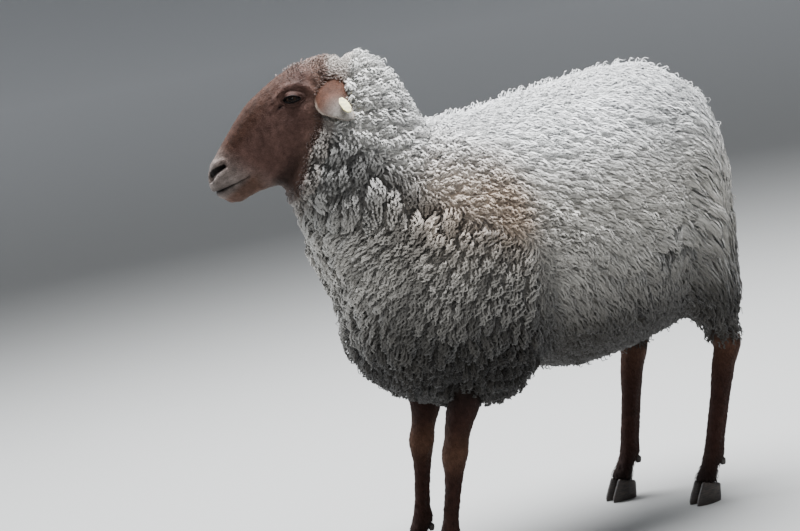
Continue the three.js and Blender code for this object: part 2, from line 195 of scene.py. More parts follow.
# Copies of CAD nodes in one object, with their loose triangles merged.
def joinedCopy(name, nodes):
    copies = []
    for node in nodes:
        copy = bpy.data.objects.new(name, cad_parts[node].data.copy())
        copy.data.materials.clear()
        scene.collection.objects.link(copy)
        copies.append(copy)
    joinInto(copies[0], copies[1:])
    onWholeMesh(copies[0], bpy.ops.mesh.remove_doubles, threshold=0.02 * mm)
    return copies[0]


def applyModifier(item, kind, **values):
    makeActive(item)
    modifier = item.modifiers.new(kind.title(), kind)
    for key, value in values.items():
        setattr(modifier, key, value)
    bpy.ops.object.modifier_apply(modifier=modifier.name)


def setInputs(node, values):
    for key, value in values.items():
        node.inputs[key].default_value = value


# A new node with its settings and the values of its sockets.
def addNode(tree, kind, values=None, **settings):
    node = tree.nodes.new("ShaderNode" + kind)
    for key, value in settings.items():
        setattr(node, key, value)
    setInputs(node, values or {})
    return node


# A ramp from its stops, each a place and a colour, from the lowest to the highest.
def addRamp(tree, stops):
    ramp = addNode(tree, "ValToRGB")
    marks = ramp.color_ramp.elements
    for mark, (place, colour) in zip((marks[0], marks[1]), (stops[0], stops[-1])):
        mark.position = place
        mark.color = (*colour, 1)
    for place, colour in stops[1:-1]:
        marks.new(place).color = (*colour, 1)
    return ramp


def wire(start, output, end, entry):
    start.id_data.links.new(start.outputs[output], end.inputs[entry])


def newMaterial(name, values):
    material = bpy.data.materials.new(name)
    material.use_nodes = True
    shader = material.node_tree.nodes["Principled BSDF"]
    setInputs(shader, values)
    return material, material.node_tree, shader


# Camera, light and floor

view = {
    "location": (-1.8307, -3.1587, 1.0133),
    "azimuth": -27,
    "elevation": 7,
    "roll": 10.5,  # the hillside's slope, taken up by the camera
    "lens": 88.3,
}


def addCamera():
    turn, rise, roll = (math.radians(view[key]) for key in ("azimuth", "elevation", "roll"))
    back = Vector((math.sin(turn) * math.cos(rise), -math.cos(turn) * math.cos(rise), math.sin(rise)))
    right = Vector((math.cos(turn), math.sin(turn), 0))
    up = back.cross(right)
    tilted = right * math.cos(roll) - up * math.sin(roll)
    upright = right * math.sin(roll) + up * math.cos(roll)
    camera = bpy.data.objects.new("camera", bpy.data.cameras.new("camera"))
    camera.data.lens = view["lens"]
    camera.data.clip_end = 400
    place = Matrix((tilted, upright, back)).transposed().to_4x4()
    camera.matrix_world = Matrix.Translation(view["location"]) @ place
    scene.collection.objects.link(camera)
    scene.camera = camera


light = {
    "sky": (0.80, 0.84, 0.90),
    "skyStrength": 0.32,
    "lamps": [
        # name, place, aim, size, power, colour
        ("skyPanel", (0.4, 0.6, 3.6), (0.0, 0.0, 0.6), 3.4, 890, (0.96, 0.98, 1.0)),
        ("sideFill", (-2.2, -3.4, 2.3), (0.0, 0.0, 0.6), 0.3, 16, (1.0, 0.97, 0.94)),
        ("rim", (-2.7, 2.9, 1.8), (-0.3, 0.0, 0.65), 1.6, 95, (0.90, 0.95, 1.0)),
    ],
}


def addLight():
    world = bpy.data.worlds.new("sky")
    world.use_nodes = True
    background = world.node_tree.nodes["Background"]
    background.inputs["Color"].default_value = (*light["sky"], 1)
    background.inputs["Strength"].default_value = light["skyStrength"]
    scene.world = world
    for name, place, aim, size, power, colour in light["lamps"]:
        lamp = bpy.data.lights.new(name, "AREA")
        lamp.shape = "DISK"
        lamp.size = size
        lamp.energy = power
        lamp.color = colour
        item = bpy.data.objects.new(name, lamp)
        item.location = place
        item.rotation_euler = (Vector(aim) - Vector(place)).to_track_quat("-Z", "Y").to_euler()
        scene.collection.objects.link(item)


studio = {
    "radius": 7.0,  # where the floor starts to bend up into the wall
    "bend": 3.5,
    "floor": (0.30, 0.30, 0.295),
    "wall": (0.62, 0.63, 0.64),
}


# A round floor that bends up into a paler wall
def addFloor():
    around = np.linspace(0, 2 * math.pi, 96, endpoint=False)
    bend = np.linspace(0, math.pi / 2, 24)
    radius = np.concatenate([[0.01, 3, 5], studio["radius"] + studio["bend"] * np.sin(bend)])[:, None]
    height = np.concatenate([[0, 0, 0], studio["bend"] * (1 - np.cos(bend))])[:, None]
    points = np.stack([radius * np.cos(around), radius * np.sin(around), height + 0 * around], -1)
    upwards = [face[::-1] for face in ringFaces(len(radius), len(around))]
    floor = meshFrom("floor", points.reshape(-1, 3), [tuple(range(len(around)))] + upwards)
    makeActive(floor)
    bpy.ops.object.shade_smooth()
    material, tree, shader = newMaterial("floor", {"Roughness": 0.9})
    place = addNode(tree, "TexCoord")
    split = addNode(tree, "SeparateXYZ")
    ramp = addRamp(tree, [(0, studio["floor"]), (0.9, studio["wall"])])
    wire(place, "Object", split, 0)
    wire(split, "Z", ramp, "Fac")
    wire(ramp, "Color", shader, "Base Color")
    floor.data.materials.append(material)


addCamera()
addLight()
addFloor()
print("camera and light are set")


# The head's own frame, in millimetres: nose towards -x, left side towards -y, face level

headNod = math.radians(31)
headPlace = Matrix.Translation((-0.34824, 0.024, 0.89))
headPlace = headPlace @ Matrix.Rotation(math.radians(-20), 4, "Z") @ Matrix.Rotation(-headNod, 4, "Y")
headTurn = np.array(headPlace.to_3x3())
headMiddle = np.array(headPlace.translation)


def inHead(points):
    return (points - headMiddle) @ headTurn / mm


def fromHead(points):
    return points @ headTurn.T * mm + headMiddle


# Both halves of the head laid on its right one.
def halved(head):
    return np.stack([head[:, 0], np.abs(head[:, 1]), head[:, 2]], 1)


# Offsets of points from each straight piece of a line, with the piece's way.
def offsetsFrom(line, points):
    for a, b in zip(line[:-1], line[1:]):
        a, b = np.array(a, float), np.array(b, float)
        way = b - a
        share = np.clip(((points - a) @ way) / (way @ way), 0, 1)
        yield points - (a + share[:, None] * way), way


def distanceToLine(points, line):
    return np.min([np.linalg.norm(offset, axis=1) for offset, way in offsetsFrom(line, points)], axis=0)


eye = {
    "place": (0.0, 46.5, 26.0),
    "radius": 15.0,
    "gaze": (-0.22, 0.94, 0.26),
    "towardsEar": (0.83, 0.0, -0.56),
    "halfLength": 14.8,
    "upper": 5.0,
    "lower": 4.0,
    "lid": 1.9,
}


# Axes at an eye: along the opening towards the ear, up across it, and outwards.
def eyeAxes(side):
    flip = np.array([1, side, 1])
    out = unit(np.array(eye["gaze"]) * flip)
    along = np.array(eye["towardsEar"]) * flip
    along = unit(along - out * (along @ out))
    up = np.cross(out, along) * side
    return along, up, out


def eyeMiddle(side):
    return np.array(eye["place"]) * np.array([1, side, 1])


# Points along an eye's axes, from its middle.
def inEye(head, side):
    return [(head - eyeMiddle(side)) @ axis for axis in eyeAxes(side)]


# How far points are from the eyes, seen from the side.
def besideEye(head):
    return np.hypot(head[:, 0] - eye["place"][0], head[:, 2] - eye["place"][2])


# The wool's edge on the head, seen from the side: behind it she is woolly.
woolEdge = [(-190, -108), (-98, -97), (-60, -72), (-35, -53), (2, -36), (24, -8), (48, 12), (60, 26),
            (66, 45), (56, 66), (50, 110)]


# How far points lie behind that edge, in millimetres.
def behindWoolEdge(head):
    best = np.full(len(head), 1e9)
    signed = np.zeros(len(head))
    for offset, way in offsetsFrom(woolEdge, head[:, [0, 2]]):
        distance = np.linalg.norm(offset, axis=1)
        side = way[1] * offset[:, 0] - way[0] * offset[:, 1]
        closer = distance < best
        best = np.where(closer, distance, best)
        signed = np.where(closer, np.where(side > 0, distance, -distance), signed)
    return signed


# Where the staples of the neck, chest and shoulder end: x at each height.
def stapleEdge(z):
    return -0.05 - 0.9 * np.maximum(z - 0.57, 0) - 0.035 * smoothstep(0.6, 0.67, z)


# How blocky the fleece is: in staples in front of that edge, in finer waves behind it.
def blocky(points):
    edge = stapleEdge(points[:, 2])
    return smoothstep(edge + 0.02, edge - 0.02, points[:, 0])


# Skin

skinValues = {
    "voxel": 7.4 * mm,
    "grow": 0.45 * mm,  # closes the thin cuts between the nodes
    "stapleDepth": 18 * mm,
    "waveDepth": 13 * mm,
    "pollDepth": 8 * mm,
    "hairDepth": 0.6 * mm,
}


def subdivideWhere(item, chosen):
    mesh = item.data
    picked = chosen(readAll(mesh.polygons, "center", 3).astype(float))
    makeActive(item)
    bpy.ops.object.mode_set(mode="EDIT")
    bpy.ops.mesh.select_mode(type="FACE")
    bpy.ops.mesh.select_all(action="DESELECT")
    bpy.ops.object.mode_set(mode="OBJECT")
    mesh.polygons.foreach_set("select", picked)
    bpy.ops.object.mode_set(mode="EDIT")
    bpy.ops.mesh.subdivide(number_cuts=1, smoothness=0, ngon=False)
    bpy.ops.object.mode_set(mode="OBJECT")


# Which CAD node lies nearest to each point, as an index into names.
def nearestNode(points, names):
    corners, triangles, owner = [], [], []
    start = 0
    for index, name in enumerate(names):
        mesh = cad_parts[name].data
        corners.append(positionsOf(mesh))
        for polygon in mesh.polygons:
            triangles.append([start + v for v in polygon.vertices])
            owner.append(index)
        start += len(mesh.vertices)
    tree = BVHTree.FromPolygons(np.concatenate(corners).tolist(), triangles)
    owner = np.array(owner)
    return owner[[tree.find_nearest(point)[2] for point in points.tolist()]]


# The slit of the gland before the eye
tearSlit = [(-24, 50, 31), (-33, 46, 29.5), (-42, 43, 27)]
# Folds of the face, in the head's frame: a line, its reach and its height, both in millimetres.
faceFolds = [
    # bony arch over and behind the eye, and the crease outside it
    ([(-24, 50, 45), (-8, 51, 52), (8, 53, 53), (24, 56, 42), (33, 58, 24), (33, 60, 6)], 7.5, 5.0),
    ([(2, 46, 74), (30, 50, 66), (43, 54, 44), (44, 58, 18)], 5, -3.4),
    (tearSlit, 2.6, -4.6),
    ([(-22, 50, 38), (-42, 44, 35)], 4, 1.6),
    # line that tears have left, down from the slit
    ([(-24, 50, 20), (-14, 56, -4), (-6, 59, -30)], 4, -1.0),
    # crest from below the eye towards the muzzle
    ([(16, 60, -4), (-30, 53, -4), (-80, 43, -2)], 10, 2.4),
    ([(14, 62, -20), (-30, 56, -28), (-90, 42, -26)], 13, -2.2),
    # cheek muscle and the line of the jaw
    ([(30, 60, -52), (10, 60, -72), (-30, 54, -80)], 18, 2.5),
    ([(-60, 46, -70), (-100, 38, -62), (-130, 32, -46)], 12, -1.4),
    # chin and the under side of the jaw
    ([(-198, 0, -42), (-180, 8, -50), (-158, 12, -53), (-132, 12, -60)], 15, 3.6),
]
# Folds of the muzzle, seen from the side: the wing of the nostril, its lower edge, and the lips
muzzleFolds = [
    ([(-164, 27), (-176, 31), (-190, 31), (-203, 26)], 4.5, 2.2),
    ([(-172, 8), (-186, 9), (-199, 7)], 4.0, 1.4),
    ([(-146, -16), (-170, -12), (-192, -5), (-212, 0)], 5.0, 1.7),
    ([(-150, -33), (-175, -28), (-196, -23), (-212, -18)], 6.0, 2.2),
]
mouthLine = [(-147, -25), (-154, -23.6), (-169, -20), (-184, -15.7), (-198, -12), (-209, -9),
             (-222, -7)]
nostrilLine = [(-169, 18), (-177, 20), (-187, 21), (-196, 19), (-206, 16)]
nostril = {"reach": 5.0, "depth": 9.0, "between": 4.0}


# How far into the nostrils' long openings points lie, 0 to 1.
def inNostril(head):
    reach = nostril["reach"] * (0.75 + 0.25 * smoothstep(-168, -182, head[:, 0]))
    gap = np.exp(-(distanceToLine(head[:, [0, 2]], nostrilLine) / reach) ** 3)
    return gap * smoothstep(nostril["between"] - 1.5, nostril["between"] + 2, np.abs(head[:, 1]))


# Raises folds and sinks slits along the surface's normal; works on both sides of the head alike.
def foldFace(head, normals):
    lift = np.zeros(len(head))
    fromSide = head[:, [0, 2]]
    for line, reach, height in faceFolds:
        lift += height * bump(distanceToLine(halved(head), line), reach)
    for line, reach, height in muzzleFolds:
        lift += height * bump(distanceToLine(fromSide, line), reach)
    front = smoothstep(-150, -205, head[:, 0])
    lift -= (1.6 + 1.8 * front) * bump(distanceToLine(fromSide, mouthLine), 1.5 + 0.5 * front)
    lift -= nostril["depth"] * inNostril(head)
    lift -= 2.0 * bump(head[:, 1], 1.6) * smoothstep(14, 6, head[:, 2]) * smoothstep(-8, -2, head[:, 2])
    crease = ripple(head, 16, 3) * 0.35 + ripple(head, 7, 4) * 0.16
    lift += crease * (head[:, 0] < 70)
    return head + normals * lift[:, None]


# Cuts an eye's opening between lids that lie on the eyeball.
def openEye(head, side):
    u, v, w = inEye(head, side)
    near = (np.hypot(u, v) < 34) & (w > -6)
    arch = np.clip(1 - (u / eye["halfLength"]) ** 2, 0, 1)
    top = eye["upper"] * arch ** 0.62
    bottom = -eye["lower"] * arch ** 0.9
    centre = (top + bottom) / 2
    half = np.maximum((top - bottom) / 2, 0.05)
    beyond = np.abs(u) - eye["halfLength"]
    gapV = np.abs(v - centre) - half
    outside = np.where(beyond > 0, np.hypot(beyond, np.maximum(gapV, 0)), gapV)
    radius = eye["radius"]
    ball = np.sqrt(np.maximum(radius ** 2 - np.minimum(np.hypot(u, v), radius * 0.97) ** 2, 0))
    lidTop = ball + eye["lid"]
    # The skin keeps its own shape away from the eye and hugs the ball close to it.
    hug = np.exp(-(np.maximum(outside, 0) / 8.5) ** 2)
    rim = np.where(v > centre, 1.15, 0.55) * np.exp(-((outside - 1.4) / 1.7) ** 2)
    folds = np.where(v > centre, 1, 0) * (
        -1.3 * np.exp(-((outside - 5.2) / 1.0) ** 2) - 1.1 * np.exp(-((outside - 9.6) / 1.2) ** 2)
        + 0.7 * np.exp(-((outside - 7.3) / 1.2) ** 2)
    )
    bag = np.where(v < centre, 1, 0) * (
        1.1 * np.exp(-((outside - 6.0) / 2.4) ** 2) - 0.9 * np.exp(-((outside - 10.5) / 1.6) ** 2)
    )
    lids = np.maximum(w, lidTop) * hug + w * (1 - hug)
    lids = np.where(w > lidTop + 3, lidTop * hug + w * (1 - hug), lids)
    shaped = lids + rim + folds + bag
    pocket = ball - 3.2
    newW = np.where(outside < -0.35, pocket, np.where(outside < 0.15, lidTop - 1.3, shaped))
    # Points beside the edge move onto it, so that the opening has a clean line.
    snap = near & (np.abs(gapV) < 0.75) & (beyond < 0)
    newV = np.where(snap, centre + np.sign(v - centre) * (half + 0.2 * np.sign(gapV)), v)
    newW = np.where(near, newW, w)
    newV = np.where(near, newV, v)
    moved = eyeMiddle(side) + np.stack([u, newV, newW], 1) @ np.stack(eyeAxes(side))
    return np.where(near[:, None], moved, head)


def makeSkin():
    item = joinedCopy("skin", fleshNodes + ["eye_left", "eye_right"])
    mesh = item.data
    setPositions(mesh, positionsOf(mesh) + normalsOf(mesh) * skinValues["grow"])
    applyModifier(item, "REMESH", mode="VOXEL", voxel_size=skinValues["voxel"], adaptivity=0)
    mesh = item.data
    print("skin remeshed:", len(mesh.vertices), "vertices")
    points, edges = positionsOf(mesh), edgesOf(mesh)
    nearest = nearestNode(points, fleshNodes)
    onFleece = nearest < len(fleeceNodes)
    isHead = ~onFleece & (nearest < len(fleeceNodes) + len(faceNodes))
    wool = np.where(isHead, smoothstep(-5, 7, behindWoolEdge(inHead(points))), onFleece * 1.0)
    for step in range(3):
        wool = neighbourMean(wool, edges)
    points = smoothed(points, edges, 4)
    points = smoothed(points, edges, 40, wool)
    setPositions(mesh, points)
    normals = normalsOf(mesh)
    depth = skinValues["waveDepth"] + blocky(points) * (skinValues["stapleDepth"] - skinValues["waveDepth"])
    depth = np.where(isHead, skinValues["pollDepth"], depth)
    for step in range(10):
        depth = neighbourMean(depth, edges)
    inset = wool * depth + (1 - wool) * skinValues["hairDepth"]
    points = points - normals * inset[:, None]
    points = smoothed(points, edges, 16, wool)
    setPositions(mesh, points)
    setAttribute(mesh, "wool", wool)
    setAttribute(mesh, "onHead", isHead.astype(float))
    return item


bareLegTop = 0.34

# Joints and tendons of a leg: height above the floor and reach, then how far they stand out at the front,
# behind and at the sides, in millimetres
legForms = {
    "fore": [(0.232, 0.026, 3.2, 1.0, 1.6), (0.082, 0.018, 0.6, 3.2, 1.2), (0.262, 0.012, -1.2, 0.0, -1.0)],
    "hind": [(0.285, 0.030, -0.5, 3.0, 1.6), (0.082, 0.018, 0.6, 3.2, 1.2), (0.245, 0.016, 0.0, -1.0, -1.2)],
}


def shapeLegs(points, normals):
    lift = np.zeros(len(points))
    for front in (True, False):
        for side in (-1, 1):
            inLeg = (points[:, 2] < bareLegTop) & ((points[:, 0] < 0) == front) & (points[:, 1] * side > 0)
            x, y, z = points[inLeg].T
            slots = np.clip((z / bareLegTop * 24).astype(int), 0, 23)
            count = np.maximum(np.bincount(slots, minlength=24), 1)
            middleX = (np.bincount(slots, x, 24) / count)[slots]
            middleY = (np.bincount(slots, y, 24) / count)[slots]
            way = unit(np.stack([x - middleX, y - middleY], 1))
            ahead, behind = np.maximum(-way[:, 0], 0), np.maximum(way[:, 0], 0)
            beside = np.abs(way[:, 1])
            own = np.zeros(len(x))
            for level, reach, atFront, atBack, atSide in legForms["fore" if front else "hind"]:
                share = bump(z - level, reach)
                own += share * (atFront * ahead ** 2 + atBack * behind ** 2 + atSide * beside ** 2)
            tendon = bump(way[:, 0] - 0.35, 0.28) * smoothstep(0.085, 0.11, z) * smoothstep(0.225, 0.19, z)
            own -= 1.8 * tendon
            lift[inLeg] = own
    return points + normals * lift[:, None] * mm


# Finer faces on legs and head, and finest around eyes, nostrils and mouth; then their forms are shaped.
def refineSkin(item):
    def face(centres):
        head = inHead(centres)
        return (head[:, 0] < 84) & (behindWoolEdge(head) < 14) & (head[:, 0] > -230) & (head[:, 2] > -130)

    def features(centres):
        head = inHead(centres)
        eyes = (besideEye(head) < 44) & (np.abs(head[:, 1]) > 24)
        return face(centres) & (eyes | (head[:, 0] < -130))

    def openings(centres):
        head = inHead(centres)
        eyes = (besideEye(head) < 25) & (np.abs(head[:, 1]) > 34)
        slit = distanceToLine(halved(head), tearSlit) < 8
        lips = distanceToLine(head[:, [0, 2]], mouthLine) < 5
        nose = distanceToLine(head[:, [0, 2]], nostrilLine) < 11
        return face(centres) & (eyes | slit | lips | nose)

    def legs(centres):
        return (centres[:, 2] < bareLegTop) & (np.abs(centres[:, 0]) > 0.12)

    for chosen, rounds in ((legs, 2), (face, 3), (features, 2), (openings, 2)):
        subdivideWhere(item, chosen)
        mesh = item.data
        points, edges = positionsOf(mesh), edgesOf(mesh)
        setPositions(mesh, smoothed(points, edges, rounds, chosen(points) * 1.0))
    mesh = item.data
    setPositions(mesh, shapeLegs(positionsOf(mesh), normalsOf(mesh)))
    points = positionsOf(mesh)
    head = inHead(points)
    headNormals = normalsOf(mesh) @ headTurn
    share = face(points) & (readAttribute(mesh, "onHead") > 0.5)
    folded = foldFace(head, headNormals)
    for side in (-1, 1):
        folded = openEye(folded, side)
    head = np.where(share[:, None], folded, head)
    setPositions(mesh, fromHead(head))
    print("face refined:", len(mesh.vertices), "vertices")


skin = makeSkin()
refineSkin(skin)


# Ears, cupped leaves that join the skin

ear = {
    "length": 104,
    # along, lean, half width, thickness
    "stations": [(-8, 0, 22, 7), (8, 2, 26, 6), (30, 5, 30, 4.2), (50, 5, 31, 3.2), (68, 1, 28, 2.6),
                 (82, -7, 19.5, 2.2), (92, -13, 11, 1.8), (98, -16, 3, 1.2)],
    "cup": 0.011,
    "droop": 0.0012,
    "root": (58, 46, 42),
    "left": (0.76, 0.64, -0.03),  # out, down and back
    "right": (0.86, 0.42, -0.26),
}


def earPlace(side):
    out, down, back = ear["left"] if side < 0 else ear["right"]
    along = unit(np.array([back, side * out, -down]))
    outwards = np.array([0, side * down, out])
    x = -along
    y = unit(np.cross(outwards, x))
    z = np.cross(x, y)
    level = np.array(Matrix.Rotation(headNod, 3, "Y"))
    turn = level @ np.stack([x, y, z], 1)
    root = level @ (np.array(ear["root"]) * np.array([1, side, 1]))
    return turn, root


def makeEar(side):
    stations = np.array(ear["stations"], float)
    rings, around = 44, 56
    along = np.linspace(stations[0, 0], stations[-1, 0], rings)
    lean, half, thick = (np.interp(along, stations[:, 0], stations[:, k]) for k in (1, 2, 3))
    for values in (lean, half, thick):
        for step in range(3):
            values[1:-1] = (values[:-2] + 2 * values[1:-1] + values[2:]) / 4
    angle = np.arange(around) / around * 2 * math.pi
    c, s = np.cos(angle), np.sin(angle)
    across = np.sign(c) * np.abs(c) ** 0.95
    rise = np.sign(s) * np.abs(s) ** 0.8
    y = half[:, None] * across
    fold = -ear["cup"] * y ** 2 - ear["droop"] * along[:, None] ** 2
    z = fold + thick[:, None] * rise * 0.8
    local = np.stack([np.repeat(-along[:, None], around, 1), y - side * lean[:, None], z], -1)
    local[..., 2] += ripple(local.reshape(-1, 3), 34, 11 + side).reshape(rings, around) * 0.9
    faces = ringFaces(rings, around)
    faces.append(tuple(range(around - 1, -1, -1)))
    faces.append(tuple((rings - 1) * around + j for j in range(around)))
    turn, root = earPlace(side)
    points = local.reshape(-1, 3) @ turn.T + root
    item = meshFrom("ear", fromHead(points), faces)
    onWholeMesh(item, bpy.ops.mesh.normals_make_consistent, inside=False)
    whole = np.ones((rings, around))
    shares = {
        "earAlong": whole * along[:, None] / ear["length"],
        "earAcross": whole * across * -side,
        "earBack": whole * rise,
        "isEar": whole,
        "wool": whole * 0,
        "onHead": whole,
    }
    for name, values in shares.items():
        setAttribute(item.data, name, values.ravel())
    return item


ears = [makeEar(-1), makeEar(1)]
setAttribute(skin.data, "isEar", np.zeros(len(skin.data.vertices)))
joinInto(skin, ears)
print("ears joined to the skin:", len(skin.data.polygons), "faces")


# Markings and painted shade, shared by the skin and the coat

colours = {
    "fleece": linear(224, 220, 212),
    "fleeceSkyLit": linear(246, 247, 247),
    "fleeceUnderShade": linear(62, 59, 55),
    "stain": linear(200, 173, 148),
    "poll": linear(206, 192, 180),
    "face": linear(86, 64, 58),
    "bridge": linear(58, 38, 30),
    "jawShade": linear(33, 23, 21),
    "fringe": linear(118, 92, 82),
    "forelock": linear(100, 69, 55),
    "muzzle": linear(116, 106, 101),
    "chin": linear(78, 56, 46),
    "lid": linear(19, 13, 13),
    "lidEdge": linear(14, 11, 11),
    "earBack": linear(78, 51, 39),
    "earFront": linear(122, 118, 113),
    "earRim": linear(160, 148, 136),
    "leg": linear(50, 32, 27),
    "legDarkAndShade": linear(30, 21, 19),
    "knee": linear(86, 61, 48),
    "dark": linear(10, 7, 7),
}


def fleeceColour(points, onHead=0.0):
    x, y, z = points.T
    # painted shade: the fleece darker towards the belly
    colour = mix(colours["fleeceUnderShade"], colours["fleece"], smoothstep(0.39, 0.62, z))
    # painted light from above: the top of the fleece paler and bluer, less of it towards the front
    skyLitReach = 0.35 + 0.65 * smoothstep(-0.3, -0.1, x)
    colour = mix(colour, colours["fleeceSkyLit"], smoothstep(0.62, 0.80, z) * skyLitReach)
    patch = bump(np.hypot((x + 0.16) / 1.2, z - 0.68), 0.085)
    edge = bump(x + 0.085, 0.035) * bump(z - 0.645, 0.07)
    colour = mix(colour, colours["stain"], np.clip(0.7 * patch + 0.6 * edge, 0, 0.8))
    colour = mix(colour, colours["poll"], np.broadcast_to(onHead, len(points)) * 0.6)
    head = inHead(points)
    aroundEar = np.linalg.norm(halved(head) - np.array([68, 52, 2]), axis=1)
    reach = 14 + 36 * smoothstep(10, 45, head[:, 2])
    nearFace = smoothstep(1, 0.35, behindWoolEdge(head) / reach)
    brown = np.maximum(0.9 * bump(aroundEar, 30), 0.9 * nearFace)
    colour = mix(colour, colours["forelock"], np.broadcast_to(onHead, len(points)) * brown)
    patches = 0.07 * ripple(points, 0.28, 21) + 0.05 * ripple(points, 0.09, 22)
    frontShade = 0.22 + 0.29 * smoothstep(0.66, 0.74, z)  # painted shade on the staples of the front, deeper on the neck
    shaded = 1 - frontShade * blocky(points) * smoothstep(0.92, 0.78, z)
    shaded *= 1 - 0.22 * bump(x - 0.325, 0.045) * smoothstep(0.7, 0.58, z)  # painted shade in the hollow of the flank
    return colour * ((1 + patches) * shaded)[:, None]


def faceColour(points):
    head = inHead(points)
    x, y, z = head[:, 0], np.abs(head[:, 1]), head[:, 2]
    # painted shade: the face darker towards the lower jaw, and darker still under the jaw behind the muzzle
    colour = mix(colours["face"], colours["jawShade"], smoothstep(-20, -62, z - 0.25 * x) * 0.95)
    colour = colour * (1 - 0.6 * smoothstep(-30, -56, z - 0.12 * x) * smoothstep(-150, -110, x))[:, None]
    colour = mix(colour, colours["bridge"], smoothstep(36, 68, z - 0.2 * x))
    colour = mix(colour, colours["bridge"], 0.75 * bump(np.hypot(x - 46, z - 28), 34))
    colour = mix(colour, colours["muzzle"], smoothstep(-122, -186, x + 0.3 * z))
    colour = mix(colour, colours["chin"], 0.9 * smoothstep(-18, -34, z) * smoothstep(-120, -150, x))
    # darker lid skin around the eye, with painted shade of the brow over the upper lid
    lids = bump(np.hypot((x - 1) / 1.2, z - 28), 14)
    colour = mix(colour, colours["lid"], 0.6 * lids)
    # painted shade: near black in the slit of the gland before the eye
    slit = distanceToLine(halved(head), tearSlit)
    colour = mix(colour, colours["dark"], 0.95 * bump(slit, 3.2))
    front = smoothstep(-150, -205, x)
    lipLine = (0.55 + 0.35 * front) * bump(distanceToLine(head[:, [0, 2]], mouthLine), 1.3 + 0.8 * front)
    lips = 0.65 * smoothstep(-165, -200, x) * bump(distanceToLine(head[:, [0, 2]], mouthLine), 9)
    colour = mix(colour, colours["lid"], lips)
    # painted shade: near black in the seam between the lips
    colour = mix(colour, colours["dark"], lipLine)
    # painted shade: near black inside the nostrils' openings
    colour = mix(colour, colours["dark"], 0.97 * smoothstep(0.1, 0.55, inNostril(head)))
    patches = 0.11 * ripple(head, 60, 31) + 0.08 * ripple(head, 18, 32) + 0.05 * ripple(head, 7, 33)
    colour = colour * (1 + patches)[:, None]
    nearWool = smoothstep(-30, 2, behindWoolEdge(head)) * smoothstep(70, 40, z)
    colour = mix(colour, colours["fringe"], 0.4 * nearWool)
    for side in (-1, 1):
        along, up, out = eyeAxes(side)
        offset = head - np.array(eye["place"]) * np.array([1, side, 1])
        u, v, w = offset @ along, offset @ up, offset @ out
        arch = np.clip(1 - (u / (eye["halfLength"] + 2)) ** 2, 0, 1)
        top = (eye["upper"] + 3.2) * arch ** 0.6 + 0.3
        bottom = -(eye["lower"] + 2.2) * arch ** 0.8 - 0.3
        rimmed = (v < top) & (v > bottom) & (np.abs(u) < eye["halfLength"] + 2.5) & (w > 0)
        colour = np.where(rimmed[:, None], colours["lidEdge"], colour)
    return colour


def legColour(points):
    x, y, z = points.T
    # darker near the hooves, and painted shade of the belly over the upper leg
    dark = np.maximum(smoothstep(0.12, 0.03, z), smoothstep(0.27, 0.36, z))
    colour = mix(colours["leg"], colours["legDarkAndShade"], dark)
    front = bump(z - 0.235, 0.03) * (x < 0)
    colour = mix(colour, colours["knee"], 0.8 * front)
    hock = bump(z - 0.3, 0.05) * (x > 0)
    colour = mix(colour, colours["knee"] * 1.1, 0.5 * hock)
    patches = 0.10 * ripple(points, 0.05, 41) + 0.06 * ripple(points, 0.018, 42)
    return colour * (1 + patches)[:, None]


def paintSkin():
    mesh = skin.data
    points = positionsOf(mesh)
    wool, onHead, isEar = (readAttribute(mesh, name) for name in ("wool", "onHead", "isEar"))
    bare = mix(legColour(points), faceColour(points), onHead)
    # painted shade: the skin under the wool darker, most under the staples, where it shows in the crevices
    woolly = fleeceColour(points, onHead) * (0.92 - 0.35 * blocky(points))[:, None]
    colour = mix(bare, woolly, wool)
    along, across, back = (readAttribute(mesh, name) for name in ("earAlong", "earAcross", "earBack"))
    leaf = mix(colours["earBack"], colours["earFront"], smoothstep(0.34, 0.85, along - 0.12 * across))
    rim = np.maximum(smoothstep(0.86, 0.98, np.abs(across)), smoothstep(0.93, 0.99, along))
    leaf = leaf * (1 - 0.25 * smoothstep(0.7, 0.95, along))[:, None]
    leaf = mix(leaf, colours["earRim"], 0.7 * rim * smoothstep(0.2, 0.5, along))
    leaf = mix(leaf, colours["lid"], 0.6 * smoothstep(0.1, -0.5, back))
    colour = mix(colour, leaf, isEar)
    setAttribute(mesh, "markingsAndShade", np.clip(colour, 0, 1), "FLOAT_COLOR")


paintSkin()


# Unwraps the skin, for the places of the tufts on their baking map.
def unwrapSkin():
    makeActive(skin)
    skin.data.uv_layers.new(name="OFBake")
    bpy.ops.object.mode_set(mode="EDIT")
    bpy.ops.mesh.select_all(action="SELECT")
    bpy.ops.uv.smart_project(angle_limit=math.radians(66), island_margin=0.002)
    bpy.ops.object.mode_set(mode="OBJECT")


unwrapSkin()
print("skin painted and unwrapped")


# Materials

def groupSocket(tree, name, inOut, kind, value=None):
    socket = tree.interface.new_socket(name=name, in_out=inOut, socket_type=kind)
    if value is not None:
        socket.default_value = value


